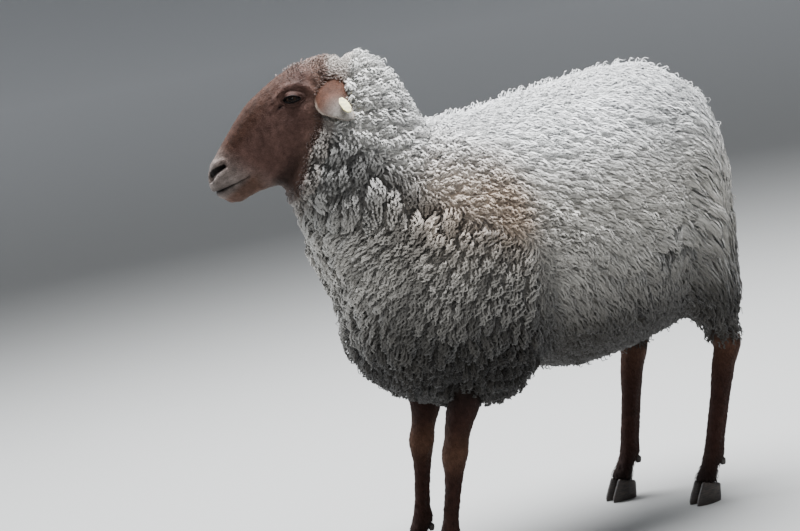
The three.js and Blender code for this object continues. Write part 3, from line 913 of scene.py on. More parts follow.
# Short hair on the skin: fine variation of a colour and a height, both from Object coordinates.
def makeHairGroup():
    tree = bpy.data.node_groups.new("shortHair", "ShaderNodeTree")
    groupSocket(tree, "Colour", "INPUT", "NodeSocketColor", (0.5, 0.5, 0.5, 1))
    groupSocket(tree, "Hair size", "INPUT", "NodeSocketFloat", 600.0)
    groupSocket(tree, "Contrast", "INPUT", "NodeSocketFloat", 0.35)
    groupSocket(tree, "Colour", "OUTPUT", "NodeSocketColor")
    groupSocket(tree, "Height", "OUTPUT", "NodeSocketFloat")
    inlet = tree.nodes.new("NodeGroupInput")
    outlet = tree.nodes.new("NodeGroupOutput")
    place = addNode(tree, "TexCoord")
    stretch = addNode(tree, "Mapping", {"Rotation": (0, math.radians(40), 0), "Scale": (0.28, 1.0, 1.0)})
    fine = addNode(tree, "TexNoise", {"Detail": 3})
    coarse = addNode(tree, "TexNoise", {"Scale": 90})
    total = addNode(tree, "Math", operation="ADD")
    centred = addNode(tree, "Math", {1: 1.0}, operation="SUBTRACT")
    scaled = addNode(tree, "Math", {2: 1.0}, operation="MULTIPLY_ADD")
    tint = addNode(tree, "VectorMath", operation="SCALE")
    wire(place, "Object", stretch, "Vector")
    wire(stretch, "Vector", fine, "Vector")
    wire(inlet, "Hair size", fine, "Scale")
    wire(place, "Object", coarse, "Vector")
    wire(fine, "Fac", total, 0)
    wire(coarse, "Fac", total, 1)
    wire(total, 0, centred, 0)
    wire(centred, 0, scaled, 0)
    wire(inlet, "Contrast", scaled, 1)
    wire(inlet, "Colour", tint, 0)
    wire(scaled, 0, tint, "Scale")
    wire(tint, 0, outlet, "Colour")
    wire(fine, "Fac", outlet, "Height")
    return tree


hairGroup = makeHairGroup()


def makeSkinMaterial():
    material, tree, shader = newMaterial("hairAndSkin", {"Roughness": 0.6, "Specular IOR Level": 0.07})
    setInputs(shader, {"Sheen Weight": 0.02, "Sheen Roughness": 0.4})
    marks = addNode(tree, "Attribute", attribute_name="markingsAndShade")
    hair = addNode(tree, "Group", {"Hair size": 700, "Contrast": 1.3}, node_tree=hairGroup)
    relief = addNode(tree, "Bump", {"Strength": 0.8, "Distance": 0.0012})
    wire(marks, "Color", hair, "Colour")
    wire(hair, "Height", relief, "Height")
    wire(hair, "Colour", shader, "Base Color")
    wire(relief, "Normal", shader, "Normal")
    return material


def makeWoolMaterial():
    material, tree, shader = newMaterial("wool", {"Roughness": 0.9, "Specular IOR Level": 0.2})
    setInputs(shader, {"Sheen Weight": 0.3, "Sheen Roughness": 0.5})
    marks = addNode(tree, "Attribute", attribute_name="markingsAndShade")
    fibre = addNode(tree, "Attribute", attribute_name="fibre")
    place = addNode(tree, "TexCoord")
    fine = addNode(tree, "TexNoise", {"Scale": 3.2, "Detail": 3})
    woolly = addNode(tree, "TexNoise", {"Scale": 210, "Detail": 2})
    height = addNode(tree, "Math", operation="ADD")
    grain = addNode(tree, "MapRange", {"From Min": 0.65, "From Max": 1.35, "To Min": 0.72, "To Max": 1.18})
    tint = addNode(tree, "VectorMath", operation="SCALE")
    relief = addNode(tree, "Bump", {"Strength": 0.8, "Distance": 0.0025})
    wire(fibre, "Vector", fine, "Vector")
    wire(place, "Object", woolly, "Vector")
    wire(fine, "Fac", height, 0)
    wire(woolly, "Fac", height, 1)
    wire(height, 0, grain, "Value")
    wire(marks, "Color", tint, 0)
    wire(grain, 0, tint, "Scale")
    wire(tint, 0, shader, "Base Color")
    wire(height, 0, relief, "Height")
    wire(relief, "Normal", shader, "Normal")
    return material


def makeHairMaterial():
    material, tree, shader = newMaterial("shortHair", {"Roughness": 0.6, "Specular IOR Level": 0.1})
    setInputs(shader, {"Sheen Weight": 0.02})
    marks = addNode(tree, "Attribute", attribute_name="markingsAndShade")
    wire(marks, "Color", shader, "Base Color")
    return material


skinMaterial = makeSkinMaterial()
hairMaterial = makeHairMaterial()
woolMaterial = makeWoolMaterial()
skin.data.materials.clear()
skin.data.materials.append(skinMaterial)
for polygon in skin.data.polygons:
    polygon.use_smooth = True
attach(skin, "root")
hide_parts(*fleeceNodes, *faceNodes, *legNodes, "ear_left", "ear_right")


# Coat

# Places on the skin where something grows, with all that a tuft needs to know of its root.
class Roots:
    def __init__(self, mesh):
        mesh.calc_loop_triangles()
        count = len(mesh.loop_triangles)
        corner = np.empty(count * 3, np.int32)
        loop = np.empty(count * 3, np.int32)
        mesh.loop_triangles.foreach_get("vertices", corner)
        mesh.loop_triangles.foreach_get("loops", loop)
        self.corner = corner.reshape(-1, 3)
        self.points = positionsOf(mesh)
        self.normals = normalsOf(mesh)
        self.wool = readAttribute(mesh, "wool")
        self.onHead = readAttribute(mesh, "onHead")
        self.isEar = readAttribute(mesh, "isEar")
        flat = np.empty(len(mesh.vertices) * 4, np.float32)
        mesh.attributes["markingsAndShade"].data.foreach_get("color", flat)
        self.markingsAndShade = flat.reshape(-1, 4)[:, :3].astype(float)
        flat = np.empty(len(mesh.loops) * 2, np.float32)
        mesh.uv_layers["OFBake"].data.foreach_get("uv", flat)
        self.uv = flat.reshape(-1, 2)[loop.reshape(-1, 3)]
        a, b, c = (self.points[self.corner[:, k]] for k in range(3))
        self.area = 0.5 * np.linalg.norm(np.cross(b - a, c - a), axis=1)
        self.centre = (a + b + c) / 3

    # Random places, so many to the square metre, where weight gives each triangle's share of that.
    def scatter(self, density, weight):
        expected = self.area * density * weight
        total = expected.sum()
        count = int(total)
        picked = rng.choice(len(expected), count, p=expected / total)
        share = rng.random((count, 2))
        over = share.sum(1) > 1
        share[over] = 1 - share[over]
        weights = np.stack([1 - share.sum(1), share[:, 0], share[:, 1]], 1)
        corner = self.corner[picked]
        blend = lambda values: (values[corner] * weights[:, :, None]).sum(1)
        found = {
            "point": blend(self.points),
            "normal": unit(blend(self.normals)),
            "wool": blend(self.wool[:, None])[:, 0],
            "onHead": blend(self.onHead[:, None])[:, 0],
            "isEar": blend(self.isEar[:, None])[:, 0],
            "markingsAndShade": blend(self.markingsAndShade),
            "uv": (self.uv[picked] * weights[:, :, None]).sum(1),
        }
        return found


# Keeps places at least so far apart, in the order they come.
def thinOut(found, spacing, points):
    cells = {}
    keep = []
    for index, (x, y, z) in enumerate((points / spacing).tolist()):
        key = (math.floor(x), math.floor(y), math.floor(z))
        clear = True
        for dx in (-1, 0, 1):
            for dy in (-1, 0, 1):
                for dz in (-1, 0, 1):
                    for other in cells.get((key[0] + dx, key[1] + dy, key[2] + dz), ()):
                        ox, oy, oz = other
                        if (ox - x) ** 2 + (oy - y) ** 2 + (oz - z) ** 2 < 1:
                            clear = False
                            break
                    if not clear:
                        break
                if not clear:
                    break
            if not clear:
                break
        if clear:
            cells.setdefault(key, []).append((x, y, z))
            keep.append(index)
    return {key: values[keep] for key, values in found.items()}


# The way the coat lies at each place: along the surface.
def lie(found):
    points, normals = found["point"], found["normal"]
    x, y, z = points.T
    barrel = mix((0.89, 0, -0.46), (0.47, 0, -0.88), smoothstep(0.66, 0.44, z))
    folds = smoothstep(0.74, 0.64, z) * smoothstep(0.42, 0.54, z)
    front = mix((-0.2, 0, -1.0), (-0.72, 0, -0.7), folds)
    way = mix(barrel, front, blocky(points))
    way = mix(way, (0.1, 0, -1.0), smoothstep(0.32, 0.43, x))
    way[:, 1] += 0.4 * np.sign(y) * smoothstep(0.0, 0.05, np.abs(y)) * smoothstep(0.3, 0.9, normals[:, 2])
    for axis in range(3):
        way[:, axis] += 0.2 * ripple(points, 0.2, 51 + axis) + 0.16 * ripple(points, 0.07, 54 + axis)
    way = way - normals * (way * normals).sum(1, keepdims=True)
    return unit(way)


# Points in a space where the clumps of wool are round: they are longer along the staples than across them.
def cellSpace(points, longer):
    offset = points - np.array([-0.2, 0, 0.6])
    folds = (smoothstep(0.74, 0.64, points[:, 2]) * smoothstep(0.4, 0.5, points[:, 2]))[:, None]
    upright, slanted = unit(np.array([-0.2, 0, -1.0])), unit(np.array([-0.72, 0, -0.7]))
    shift = (1 - folds) * (offset @ upright)[:, None] * upright
    shift = shift + folds * (offset @ slanted)[:, None] * slanted
    return offset - (1 - 1 / longer) * shift


# Deep folds between rows of staples: 0 on their ridges, 1 in the crevices.
def crevices(points, size):
    warped = points.copy()
    for axis in range(3):
        warped[:, axis] += 0.012 * ripple(points, 0.11, 61 + axis)
    upright = warped * np.array([1, 1, 0.36])
    slanted = np.stack([warped[:, 0] - 0.95 * warped[:, 2], warped[:, 1] * 1.3, warped[:, 2] * 0.5], 1)
    folds = smoothstep(0.74, 0.64, points[:, 2]) * smoothstep(0.36, 0.5, points[:, 2])
    value = (1 - folds) * ripple(upright, size, 65) + folds * ripple(slanted * 0.75, size, 66)
    return smoothstep(0.34, 0.0, np.abs(value))


dipLine = [(112, 0, 24), (110, 26, 16), (110, 44, -3), (107, 54, -15), (100, 64, -27), (87, 76, -41),
           (72, 84, -52)]


# How far points lie in the dip between the wool of the poll and the crest of the neck, 0 to 1.
def inDip(points):
    return bump(distanceToLine(halved(inHead(points)), dipLine), 9)


# The fold behind the elbow, where the chest's wool stands over the barrel's, 0 to 1.
def inElbowFold(points):
    x, y, z = points.T
    fold = bump(x - stapleEdge(z) - 0.01, 0.02) * smoothstep(0.62, 0.54, z)
    return fold * smoothstep(0.06, 0.12, np.abs(y))


coatFibres = {"fluff": 1.0, "faceHair": 1.0, "legHair": 1.0, "pollCurls": 0.4}
coatSoft = {"neckStaples": 0.62, "hangingLocks": 0.6, "chestStaples": 0.55, "crestPuffs": 0.6,
            "shoulderCurls": 0.6, "waves": 0.84,
            "pollCurls": 0.5, "faceHair": 0.6}


# Builds closed tapering tubes along a middle line, all in one mesh. Lines and rings are arrays with a row
# for each tuft: line (n, r, 3), wide and thick (n, r), across (n, 3) or (n, r, 3).
def buildTufts(name, line, across, wide, thick, sides, found, colour, material):
    kind = name.split("_")[0]
    fibres = coatFibres.get(kind, 0.5)
    count, rings = line.shape[:2]
    way = np.gradient(line, axis=1)
    way = unit(way)
    across = np.broadcast_to(across[:, None] if across.ndim == 2 else across, line.shape)
    across = unit(across - way * (across * way).sum(-1, keepdims=True))
    over = np.cross(way, across)
    angle = np.arange(sides) / sides * 2 * math.pi
    c, s = np.cos(angle), np.sin(angle)
    ring = line[:, :-1, None] + across[:, :-1, None] * (wide[:, :-1, None, None] * c[:, None])
    ring = ring + over[:, :-1, None] * (thick[:, :-1, None, None] * s[:, None])
    tube = across[:, :-1, None] * (thick[:, :-1, None, None] * c[:, None])
    tube = unit(tube + over[:, :-1, None] * (wide[:, :-1, None, None] * s[:, None]))
    facing = found.get("facing", found["normal"])
    soft = coatSoft.get(kind, 0.5)
    shade = tube * (1 - soft) + facing[:, None, None] * soft
    shade = np.concatenate([shade.reshape(count, -1, 3), facing[:, None]], 1).reshape(-1, 3)
    rings -= 1
    each = rings * sides + 1
    points = np.concatenate([ring.reshape(count, -1, 3), line[:, -1:]], 1).reshape(-1, 3)
    pattern = []
    for i in range(rings - 1):
        for j in range(sides):
            k = (j + 1) % sides
            a, b, cc, d = i * sides + j, i * sides + k, (i + 1) * sides + k, (i + 1) * sides + j
            pattern += [(a, b, cc), (a, cc, d)]
    tip = rings * sides
    for j in range(sides):
        pattern.append(((rings - 1) * sides + j, (rings - 1) * sides + (j + 1) % sides, tip))
    for j in range(1, sides - 1):
        pattern.append((0, j + 1, j))
    pattern = np.array(pattern)
    triangles = (pattern[None] + (np.arange(count) * each)[:, None, None]).reshape(-1, 3)
    mesh = bpy.data.meshes.new(name)
    mesh.vertices.add(len(points))
    mesh.vertices.foreach_set("co", points.astype(np.float32).ravel())
    mesh.loops.add(len(triangles) * 3)
    mesh.loops.foreach_set("vertex_index", triangles.astype(np.int32).ravel())
    mesh.polygons.add(len(triangles))
    mesh.polygons.foreach_set("loop_start", np.arange(len(triangles), dtype=np.int32) * 3)
    mesh.polygons.foreach_set("use_smooth", np.ones(len(triangles), bool))
    mesh.update(calc_edges=True)
    mesh.normals_split_custom_set_from_vertices(unit(shade).tolist())  # the coat's shading follows the body
    share = np.concatenate([np.repeat(np.arange(rings) / rings, sides), [1.0]])
    apart = rng.uniform(-60, 60, (count, 1, 3))
    ring = np.tile(np.stack([c, s], 1), (rings, 1)) * fibres
    own = np.concatenate([np.concatenate([ring, [[0, 0]]]), share[:, None] * 1.4], 1)
    setAttribute(mesh, "fibre", (own[None] + apart).reshape(-1, 3), "FLOAT_VECTOR")
    setAttribute(mesh, "markingsAndShade", np.repeat(np.clip(colour, 0, 1), each, 0), "FLOAT_COLOR")
    around = np.concatenate([np.tile(np.stack([c, s], 1), (rings, 1)), [[0, 0]]])
    patch = around * 0.0007 + np.stack([share, share], 1) * 0.0008 - 0.0004
    uv = np.repeat(found["uv"], each, 0) + np.tile(patch, (count, 1))
    layer = mesh.uv_layers.new(name="OFBake")
    layer.data.foreach_set("uv", uv[triangles.ravel()].astype(np.float32).ravel())
    item = bpy.data.objects.new(name, mesh)
    scene.collection.objects.link(item)
    mesh.materials.append(material)
    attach(item, "root")
    print(name, len(triangles), "triangles,", count, "tufts")
    return item


# Splits tufts into pieces under the limit for one piece, from front to back.
def buildInPieces(name, most, line, across, wide, thick, sides, found, colour, material):
    each = (line.shape[1] - 2) * sides * 2 + sides + sides - 2
    pieces = max(1, math.ceil(len(line) * each / most))
    order = np.argsort(found["point"][:, 0], kind="stable")
    for index, part in enumerate(np.array_split(order, pieces)):
        some = {key: values[part] for key, values in found.items()}
        label = f"{name}_{index + 1}" if pieces > 1 else name
        shape = [values[part] for values in (line, across, wide, thick)]
        buildTufts(label, *shape, sides, some, colour[part], material)


# The middle lines of locks: out of the skin, over into the lie of the coat, with a curl towards the tip.
def lockLines(found, way, rings, length, lift, curl, turns, phase=None):
    count = len(way)
    t = np.linspace(0, 1, rings)
    normal = found["normal"]
    binormal = np.cross(normal, way)
    length, lift, curl, turns = (np.broadcast_to(v, count)[:, None] for v in (length, lift, curl, turns))
    out = lift * np.sin(np.minimum(t * 1.5, 1) * math.pi / 2) - lift * 0.35 * np.maximum(t - 0.6, 0) ** 1.2
    along = length * t ** 1.35
    line = found["point"][:, None] + normal[:, None] * out[..., None] + way[:, None] * along[..., None]
    start = rng.uniform(0, 2 * math.pi, count) if phase is None else phase
    phase = start[:, None] + 2 * math.pi * turns * t
    grow = curl * t ** 0.8
    line = line + binormal[:, None] * (grow * np.cos(phase))[..., None]
    line = line + normal[:, None] * (grow * np.sin(phase) * 0.7)[..., None]
    return line, binormal


roots = Roots(skin.data)
skinTree = BVHTree.FromPolygons(roots.points.tolist(), roots.corner.tolist())


# Lifts the middle lines that run into a hollow of the body until they lie on top of its skin.
def aboveSkin(line, lift):
    def heightOf(point):
        place, normal = skinTree.find_nearest(point)[:2]
        return (Vector(point) - place).dot(normal), normal

    tips = line[:, -1].tolist()
    sunk = [index for index, tip in enumerate(tips) if heightOf(tip)[0] < 0.5 * lift[index]]
    for index in sunk:
        for ring in range(1, line.shape[1]):
            height, normal = heightOf(line[index, ring].tolist())
            wanted = 0.85 * lift[index] * min(1, 2.5 * ring / line.shape[1])
            if height < wanted:
                line[index, ring] += np.array(normal) * (wanted - height)
    return line


woolShare = roots.wool[roots.corner].mean(1)
pollShare = roots.onHead[roots.corner].mean(1)
earShare = roots.isEar[roots.corner].mean(1)
blockyShare = blocky(roots.centre)

# Wool grows in clumps whose strands run together. In front they make rounded staples with crevices between
# them, and in the waves behind the shoulder they are looser. Lengths are in millimetres.
woolKinds = {
    "neckStaples": {
        "clump": 20, "longer": 1.7, "spacing": 4.7, "length": 14, "lift": 22, "wide": 2.5, "thick": 1.6,
        "curl": 1.8, "turns": 1.6, "together": 0.12, "loose": 0.35, "deep": 0.9, "tones": 0.17,
        "crevice": 0.45, "dome": 0.9, "rings": 8,
    },
    "chestStaples": {
        "clump": 13.5, "longer": 1.7, "spacing": 4.6, "length": 13.5, "lift": 19, "wide": 2.2, "thick": 1.5,
        "curl": 2.4, "turns": 1.8, "together": 0.15, "loose": 0.5, "deep": 0.84, "tones": 0.14,
        "crevice": 0.6, "dome": 0.8, "rings": 8,
    },
    "crestPuffs": {
        "clump": 16, "longer": 1.3, "spacing": 4.6, "length": 11, "lift": 15, "wide": 2.2, "thick": 1.6,
        "curl": 2.2, "turns": 1.6, "together": 0.1, "loose": 0.6, "deep": 0.6, "tones": 0.08,
        "crevice": 0.0, "dome": 0.8, "rings": 8,
    },
    "shoulderCurls": {
        "clump": 11, "longer": 1.3, "spacing": 4.6, "length": 12, "lift": 13, "wide": 2.1, "thick": 1.4,
        "curl": 2.0, "turns": 1.5, "together": 0.15, "loose": 0.6, "deep": 0.5, "tones": 0.08,
        "crevice": 0.0, "dome": 0.6, "rings": 8,
    },
    "hangingLocks": {
        "clump": 12, "longer": 3.2, "spacing": 5.0, "length": 32, "lift": 12, "wide": 2.1, "thick": 1.4,
        "curl": 1.8, "turns": 1.1, "together": 0.25, "loose": 0.45, "deep": 0.55, "tones": 0.12,
        "crevice": 0.0, "dome": 0.7, "rings": 8,
    },
    "waves": {
        "clump": 13, "longer": 2.0, "spacing": 4.8, "length": 21, "lift": 10, "wide": 2.0, "thick": 1.0,
        "curl": 1.9, "turns": 1.3, "together": 0.28, "loose": 0.6, "deep": 0.2, "tones": 0.05,
        "crevice": 0.0, "dome": 0.35, "rings": 7,
    },
}
strandProfile = np.array([0.9, 1.0, 1.05, 1.05, 1.05, 1.0, 0.9, 0.65, 0.0])


def growWool(name, weight):
    kind = woolKinds[name]
    clump, spacing, longer, loose = kind["clump"] * mm, kind["spacing"] * mm, kind["longer"], kind["loose"]
    clumps = roots.scatter(2.6 / clump ** 2, weight)
    clumps = thinOut(clumps, clump, cellSpace(clumps["point"], longer))
    clumpWay = lie(clumps)
    crevice = crevices(clumps["point"], 0.1) * kind["crevice"]
    tree = KDTree(len(clumpWay))
    for index, point in enumerate(cellSpace(clumps["point"], longer).tolist()):
        tree.insert(point, index)
    tree.balance()
    found = roots.scatter(2.4 / spacing ** 2, weight)
    found = thinOut(found, spacing, found["point"])
    count = len(found["point"])
    nearest = [tree.find_n(point, 2) for point in cellSpace(found["point"], longer).tolist()]
    own = np.array([pair[0][1] for pair in nearest])
    inside = np.array([pair[-1][2] - pair[0][2] for pair in nearest]) / clump
    clumpSize = rng.uniform(0.82, 1.18, len(clumpWay))
    clumpPhase = rng.uniform(0, 2 * math.pi, len(clumpWay))
    # painted shade: clumps in the crevices darker
    clumpTone = rng.uniform(1 - kind["tones"], 1 + kind["tones"], len(clumpWay)) * (1 - 0.7 * crevice)
    way = unit(lie(found) * loose + clumpWay[own] * (1 - loose))
    size = clumpSize[own] * (1 + loose * rng.uniform(-0.3, 0.3, count))
    low = smoothstep(0.5, 0.36, found["point"][:, 2])
    pillow = smoothstep(-0.05, 0.38, inside)
    lift = kind["lift"] * mm * (1 + 0.25 * loose * rng.uniform(-1, 1, count)) * (1 - crevice[own])
    dip = np.maximum(inDip(found["point"]), 0.9 * inElbowFold(found["point"]))
    lift = lift * (1 - kind["deep"] * (1 - pillow)) * (1 - 0.75 * dip) * (1 - 0.45 * found["onHead"])
    lift = lift * smoothstep(0.0, 0.85, found["wool"])
    length = kind["length"] * mm * size * (1 + 0.25 * smoothstep(0.72, 0.5, found["point"][:, 2]))
    length = length * (1 - 0.45 * smoothstep(0.45, 0.37, found["point"][:, 2])) * (1 - 0.35 * found["onHead"])
    turns = kind["turns"] * (1 + loose * rng.uniform(-0.4, 0.4, count)) * (1 + 0.5 * low)
    phase = clumpPhase[own] + loose * rng.normal(0, 1, count)
    curl = kind["curl"] * mm * size * (1 + 0.6 * low)
    offset = found["point"] - clumps["point"][own]
    down = (offset * clumpWay[own]).sum(1, keepdims=True) * clumpWay[own]
    tilt = (offset - down * (1 - 1 / longer)) / (clump * 0.55)
    tilt *= np.minimum(np.linalg.norm(tilt, axis=1, keepdims=True), 1.2)
    found["facing"] = unit(found["normal"] + kind["dome"] * tilt)
    rings = kind["rings"]
    line, across = lockLines(found, way, rings, length, lift, curl, turns, phase)
    t = np.linspace(0, 1, rings)
    profile = np.interp(t, np.linspace(0, 1, 9), strandProfile)
    tips = clumps["point"][own] + clumpWay[own] * length[:, None]
    tips = tips + clumps["normal"][own] * lift[:, None] * 0.95
    line += ((tips - line[:, -1]) * kind["together"])[:, None] * (t ** 1.2)[None, :, None]
    line = aboveSkin(line, lift)
    wide = kind["wide"] * mm * rng.uniform(0.75, 1.25, (count, 1)) * profile
    thick = kind["thick"] * mm * rng.uniform(0.8, 1.2, (count, 1)) * profile
    # painted shade: strands darker towards the edges of their clump, in the dip behind the poll and in the
    # fold behind the elbow
    tone = (clumpTone[own] * rng.uniform(0.95, 1.05, count) * (1 - 0.85 * kind["deep"] * (1 - pillow)))
    tone = (tone * (1 - 0.6 * dip))[:, None]
    colour = fleeceColour(found["point"], found["onHead"]) * tone
    buildInPieces(name, 190000, line, across, wide, thick, 3, found, colour, woolMaterial)


# Curls: short tight ringlets on the head; those on the crest of the neck and behind the shoulder grow with
# the wool's clumps
curlKinds = {
    "pollCurls": {"spacing": 3.7, "length": 8, "lift": 9.5, "wide": 1.5, "curl": 1.9},
}


def growCurls(name, weight):
    kind = curlKinds[name]
    spacing = kind["spacing"] * mm
    found = roots.scatter(2.4 / spacing ** 2, weight)
    found = thinOut(found, spacing, found["point"])
    count = len(found["point"])
    way = lie(found)
    edge = found["onHead"] * smoothstep(0.9, 0.3, found["wool"])
    size = rng.uniform(0.75, 1.25, count) * (1 - 0.4 * edge)
    dip = inDip(found["point"])
    lift = kind["lift"] * mm * rng.uniform(0.8, 1.12, count) * (1 - 0.5 * edge) * (1 - 0.75 * dip)
    turns = rng.uniform(0.9, 1.7, count) * rng.choice([-1, 1], count)
    line, across = lockLines(found, way, 8, kind["length"] * mm * size, lift, kind["curl"] * mm * size, turns)
    wide = kind["wide"] * mm * size[:, None] * np.array([0.9, 1, 1.05, 1.05, 1.0, 0.9, 0.7, 0.0])
    colour = fleeceColour(found["point"], found["onHead"]) * rng.uniform(0.9, 1.08, (count, 1))
    # painted shade: curls darker in the dip between the poll and the crest
    colour = mix(colour, found["markingsAndShade"], 0.75 * edge) * (1 - 0.6 * dip)[:, None]
    buildInPieces(name, 190000, line, across, wide, wide * 0.8, 3, found, colour, woolMaterial)


# Fluff: thin curly strands that stand out of the fleece, most of them along the top
fluff = {"density": 3000, "length": 15, "lift": 18, "wide": 0.8, "curl": 3.0}


def growFluff(weight):
    found = roots.scatter(fluff["density"], weight)
    count = len(found["point"])
    way = lie(found)
    size = rng.uniform(0.6, 1.3, count)
    lift = fluff["lift"] * mm * rng.uniform(0.8, 1.25, count) * (1 - 0.45 * found["onHead"])
    turns = rng.uniform(0.8, 2.2, count) * rng.choice([-1, 1], count)
    length, curl = fluff["length"] * mm * size, fluff["curl"] * mm * size
    line, across = lockLines(found, way, 9, length, lift, curl, turns)
    wide = fluff["wide"] * mm * np.array([1, 1, 1, 1, 0.95, 0.9, 0.75, 0.5, 0.0]) * np.ones((count, 1))
    colour = fleeceColour(found["point"], found["onHead"]) * rng.uniform(1.0, 1.2, (count, 1))
    buildInPieces("fluff", 190000, line, across, wide, wide, 3, found, colour, woolMaterial)


# Short hair: small flat tufts on the face, ears and legs
shortHair = {
    "faceHair": {"density": 90000, "length": 4.2, "lift": 0.3, "wide": 0.55},
    "legHair": {"density": 60000, "length": 6.5, "lift": 0.5, "wide": 0.75},
}


def hairLie(found):
    points, normals = found["point"], found["normal"]
    faceWay = np.array([0.9, 0, -0.42]) @ headTurn.T
    earWay = np.array([0.0, 0, -1.0])
    head = inHead(points)
    way = mix((0.12, 0, -1.0), faceWay, found["onHead"])
    way = mix(way, earWay, found["isEar"])
    way += 0.22 * np.stack([ripple(points, 0.03, 71 + k) for k in range(3)], 1)
    return unit(way - normals * (way * normals).sum(1, keepdims=True))


def growShortHair(name, weight):
    kind = shortHair[name]
    found = roots.scatter(kind["density"], weight)
    head = inHead(found["point"])
    nearEye = (np.hypot(head[:, 0], head[:, 2] - 26) < 19) & (np.abs(head[:, 1]) > 30)
    fromNose = np.stack([head[:, 0] + 196, head[:, 1] * 0.8, head[:, 2] - 6], 1)
    nearNose = np.linalg.norm(fromNose, axis=1) < 24
    keep = ~((nearEye | nearNose) & (found["onHead"] > 0.5) & (found["isEar"] < 0.5))
    found = {key: values[keep] for key, values in found.items()}
    count = len(found["point"])
    way = hairLie(found)
    size = rng.uniform(0.7, 1.3, count) * (1 - 0.45 * smoothstep(20, -150, head[keep, 0]) * found["onHead"])
    fringe = bump(found["point"][:, 2] - 0.058, 0.02) * (1 - found["onHead"])  # over the top of the hooves
    lift = (kind["lift"] + 2.4 * fringe) * mm * size
    length = kind["length"] * (1 + 0.9 * fringe) * mm * size
    line, across = lockLines(found, way, 3, length, lift, 0.2 * mm * size, 0.4)
    wide = kind["wide"] * mm * size[:, None] * np.array([0.9, 0.9, 0.0])
    colour = found["markingsAndShade"] * rng.uniform(0.8, 1.3, (count, 1))
    buildInPieces(name, 190000, line, across, wide, wide * 0.35, 3, found, colour, hairMaterial)


# The curls on top of the forehead, in front of the wool's edge.
def inForelock(points):
    head = inHead(points)
    return bump(np.hypot(head[:, 0] - 49, head[:, 2] - 64), 18) * smoothstep(56, 44, np.abs(head[:, 1]))


# Where the curls take over from the staples and the waves.
def curly(points):
    x, y, z = points.T
    edge = stapleEdge(z)
    behind = edge + 0.115 + 0.35 * np.maximum(z - 0.7, 0)
    between = smoothstep(edge - 0.02, edge + 0.02, x) * smoothstep(behind + 0.03, behind - 0.03, x)
    return between * smoothstep(0.5, 0.6, z)


headHeight = inHead(roots.centre)[:, 2]
topShare = pollShare * smoothstep(-72, -50, headHeight)
curlyShare = np.maximum(curly(roots.centre), topShare)
stapled = woolShare * blockyShare * (1 - curlyShare) * smoothstep(0.25, 0.5, woolShare)
upper = smoothstep(0.6, 0.68, roots.centre[:, 2])
growWool("neckStaples", stapled * upper)
growWool("chestStaples", stapled * (1 - upper))
curled = woolShare * curlyShare * (1 - topShare)
edgeShare = pollShare * smoothstep(0.9, 0.5, woolShare)
high = smoothstep(0.74, 0.78, roots.centre[:, 2])
growWool("crestPuffs", curled * high)
growWool("shoulderCurls", curled * (1 - high))
forelock = inForelock(roots.centre) * pollShare
curlsOnHead = np.maximum(smoothstep(0.12, 0.3, woolShare) * np.maximum(topShare, edgeShare), 0.9 * forelock)
growCurls("pollCurls", curlsOnHead * (1 - earShare))
hanging = smoothstep(0.29, 0.35, roots.centre[:, 0]) * smoothstep(0.78, 0.66, roots.centre[:, 2])
growWool("hangingLocks", woolShare * hanging)
growWool("waves", woolShare * (1 - blockyShare) * (1 - curlyShare) * (1 - hanging))
upward = smoothstep(0.2, 0.8, roots.normals[roots.corner].mean(1)[:, 2])
growFluff(woolShare * (0.2 + 0.6 * upward + 1.4 * upward * smoothstep(0.9, 0.95, roots.centre[:, 2])))
bareShare = (woolShare < 0.45) * 1.0
growShortHair("faceHair", bareShare * (pollShare > 0.5))
growShortHair("legHair", bareShare * (pollShare < 0.5))


# Eyes

def makeEye(node, side):
    middle = np.array(eye["place"]) * np.array([1, side, 1])
    along, up, out = eyeAxes(side)
    deselectAll()
    bpy.ops.mesh.primitive_uv_sphere_add(segments=48, ring_count=32, radius=1)
    item = bpy.context.active_object
    item.name = node.replace("eye", "eyeball")
    mesh = item.data
    local = positionsOf(mesh)
    bulge = np.exp(-((1 - local[:, 2]) / 0.22) ** 2) * 0.05
    setAttribute(mesh, "iris", local, "FLOAT_VECTOR")
    ball = local * (1 + bulge)[:, None] * (eye["radius"] - 0.3)
    placed = middle + ball[:, :1] * along + ball[:, 1:2] * up + ball[:, 2:] * out
    setPositions(mesh, fromHead(placed))
    if side < 0:
        mesh.flip_normals()
    bpy.ops.object.shade_smooth()
    mesh.materials.append(eyeMaterial)
    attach(item, "root")
    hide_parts(node)


def makeEyeMaterial():
    material, tree, shader = newMaterial("eyeball", {"Roughness": 0.12, "Specular IOR Level": 0.1})
    setInputs(shader, {"Coat Weight": 0.3, "Coat Roughness": 0.03})
    local = addNode(tree, "Attribute", attribute_name="iris")
    squeeze = addNode(tree, "VectorMath", {1: (1, 1, 0)}, operation="MULTIPLY")
    far = addNode(tree, "VectorMath", operation="LENGTH")
    ramp = addRamp(tree, [(0.25, (0.014, 0.008, 0.005)), (0.5, (0.03, 0.015, 0.007)),
                          (0.62, (0.012, 0.009, 0.008))])
    stretch = addNode(tree, "VectorMath", {1: (1.0, 2.3, 0)}, operation="MULTIPLY")
    pupil = addNode(tree, "VectorMath", operation="LENGTH")
    inside = addNode(tree, "MapRange", {"From Min": 0.3, "From Max": 0.36})
    tint = addNode(tree, "VectorMath", operation="SCALE")
    wire(local, "Vector", squeeze, 0)
    wire(squeeze, 0, far, 0)
    wire(far, "Value", ramp, "Fac")
    wire(local, "Vector", stretch, 0)
    wire(stretch, 0, pupil, 0)
    wire(pupil, "Value", inside, "Value")
    wire(ramp, "Color", tint, 0)
    wire(inside, 0, tint, "Scale")
    wire(tint, 0, shader, "Base Color")
    return material


eyeMaterial = makeEyeMaterial()
makeEye("eye_left", -1)
makeEye("eye_right", 1)


# Hooves, dewclaws and tag

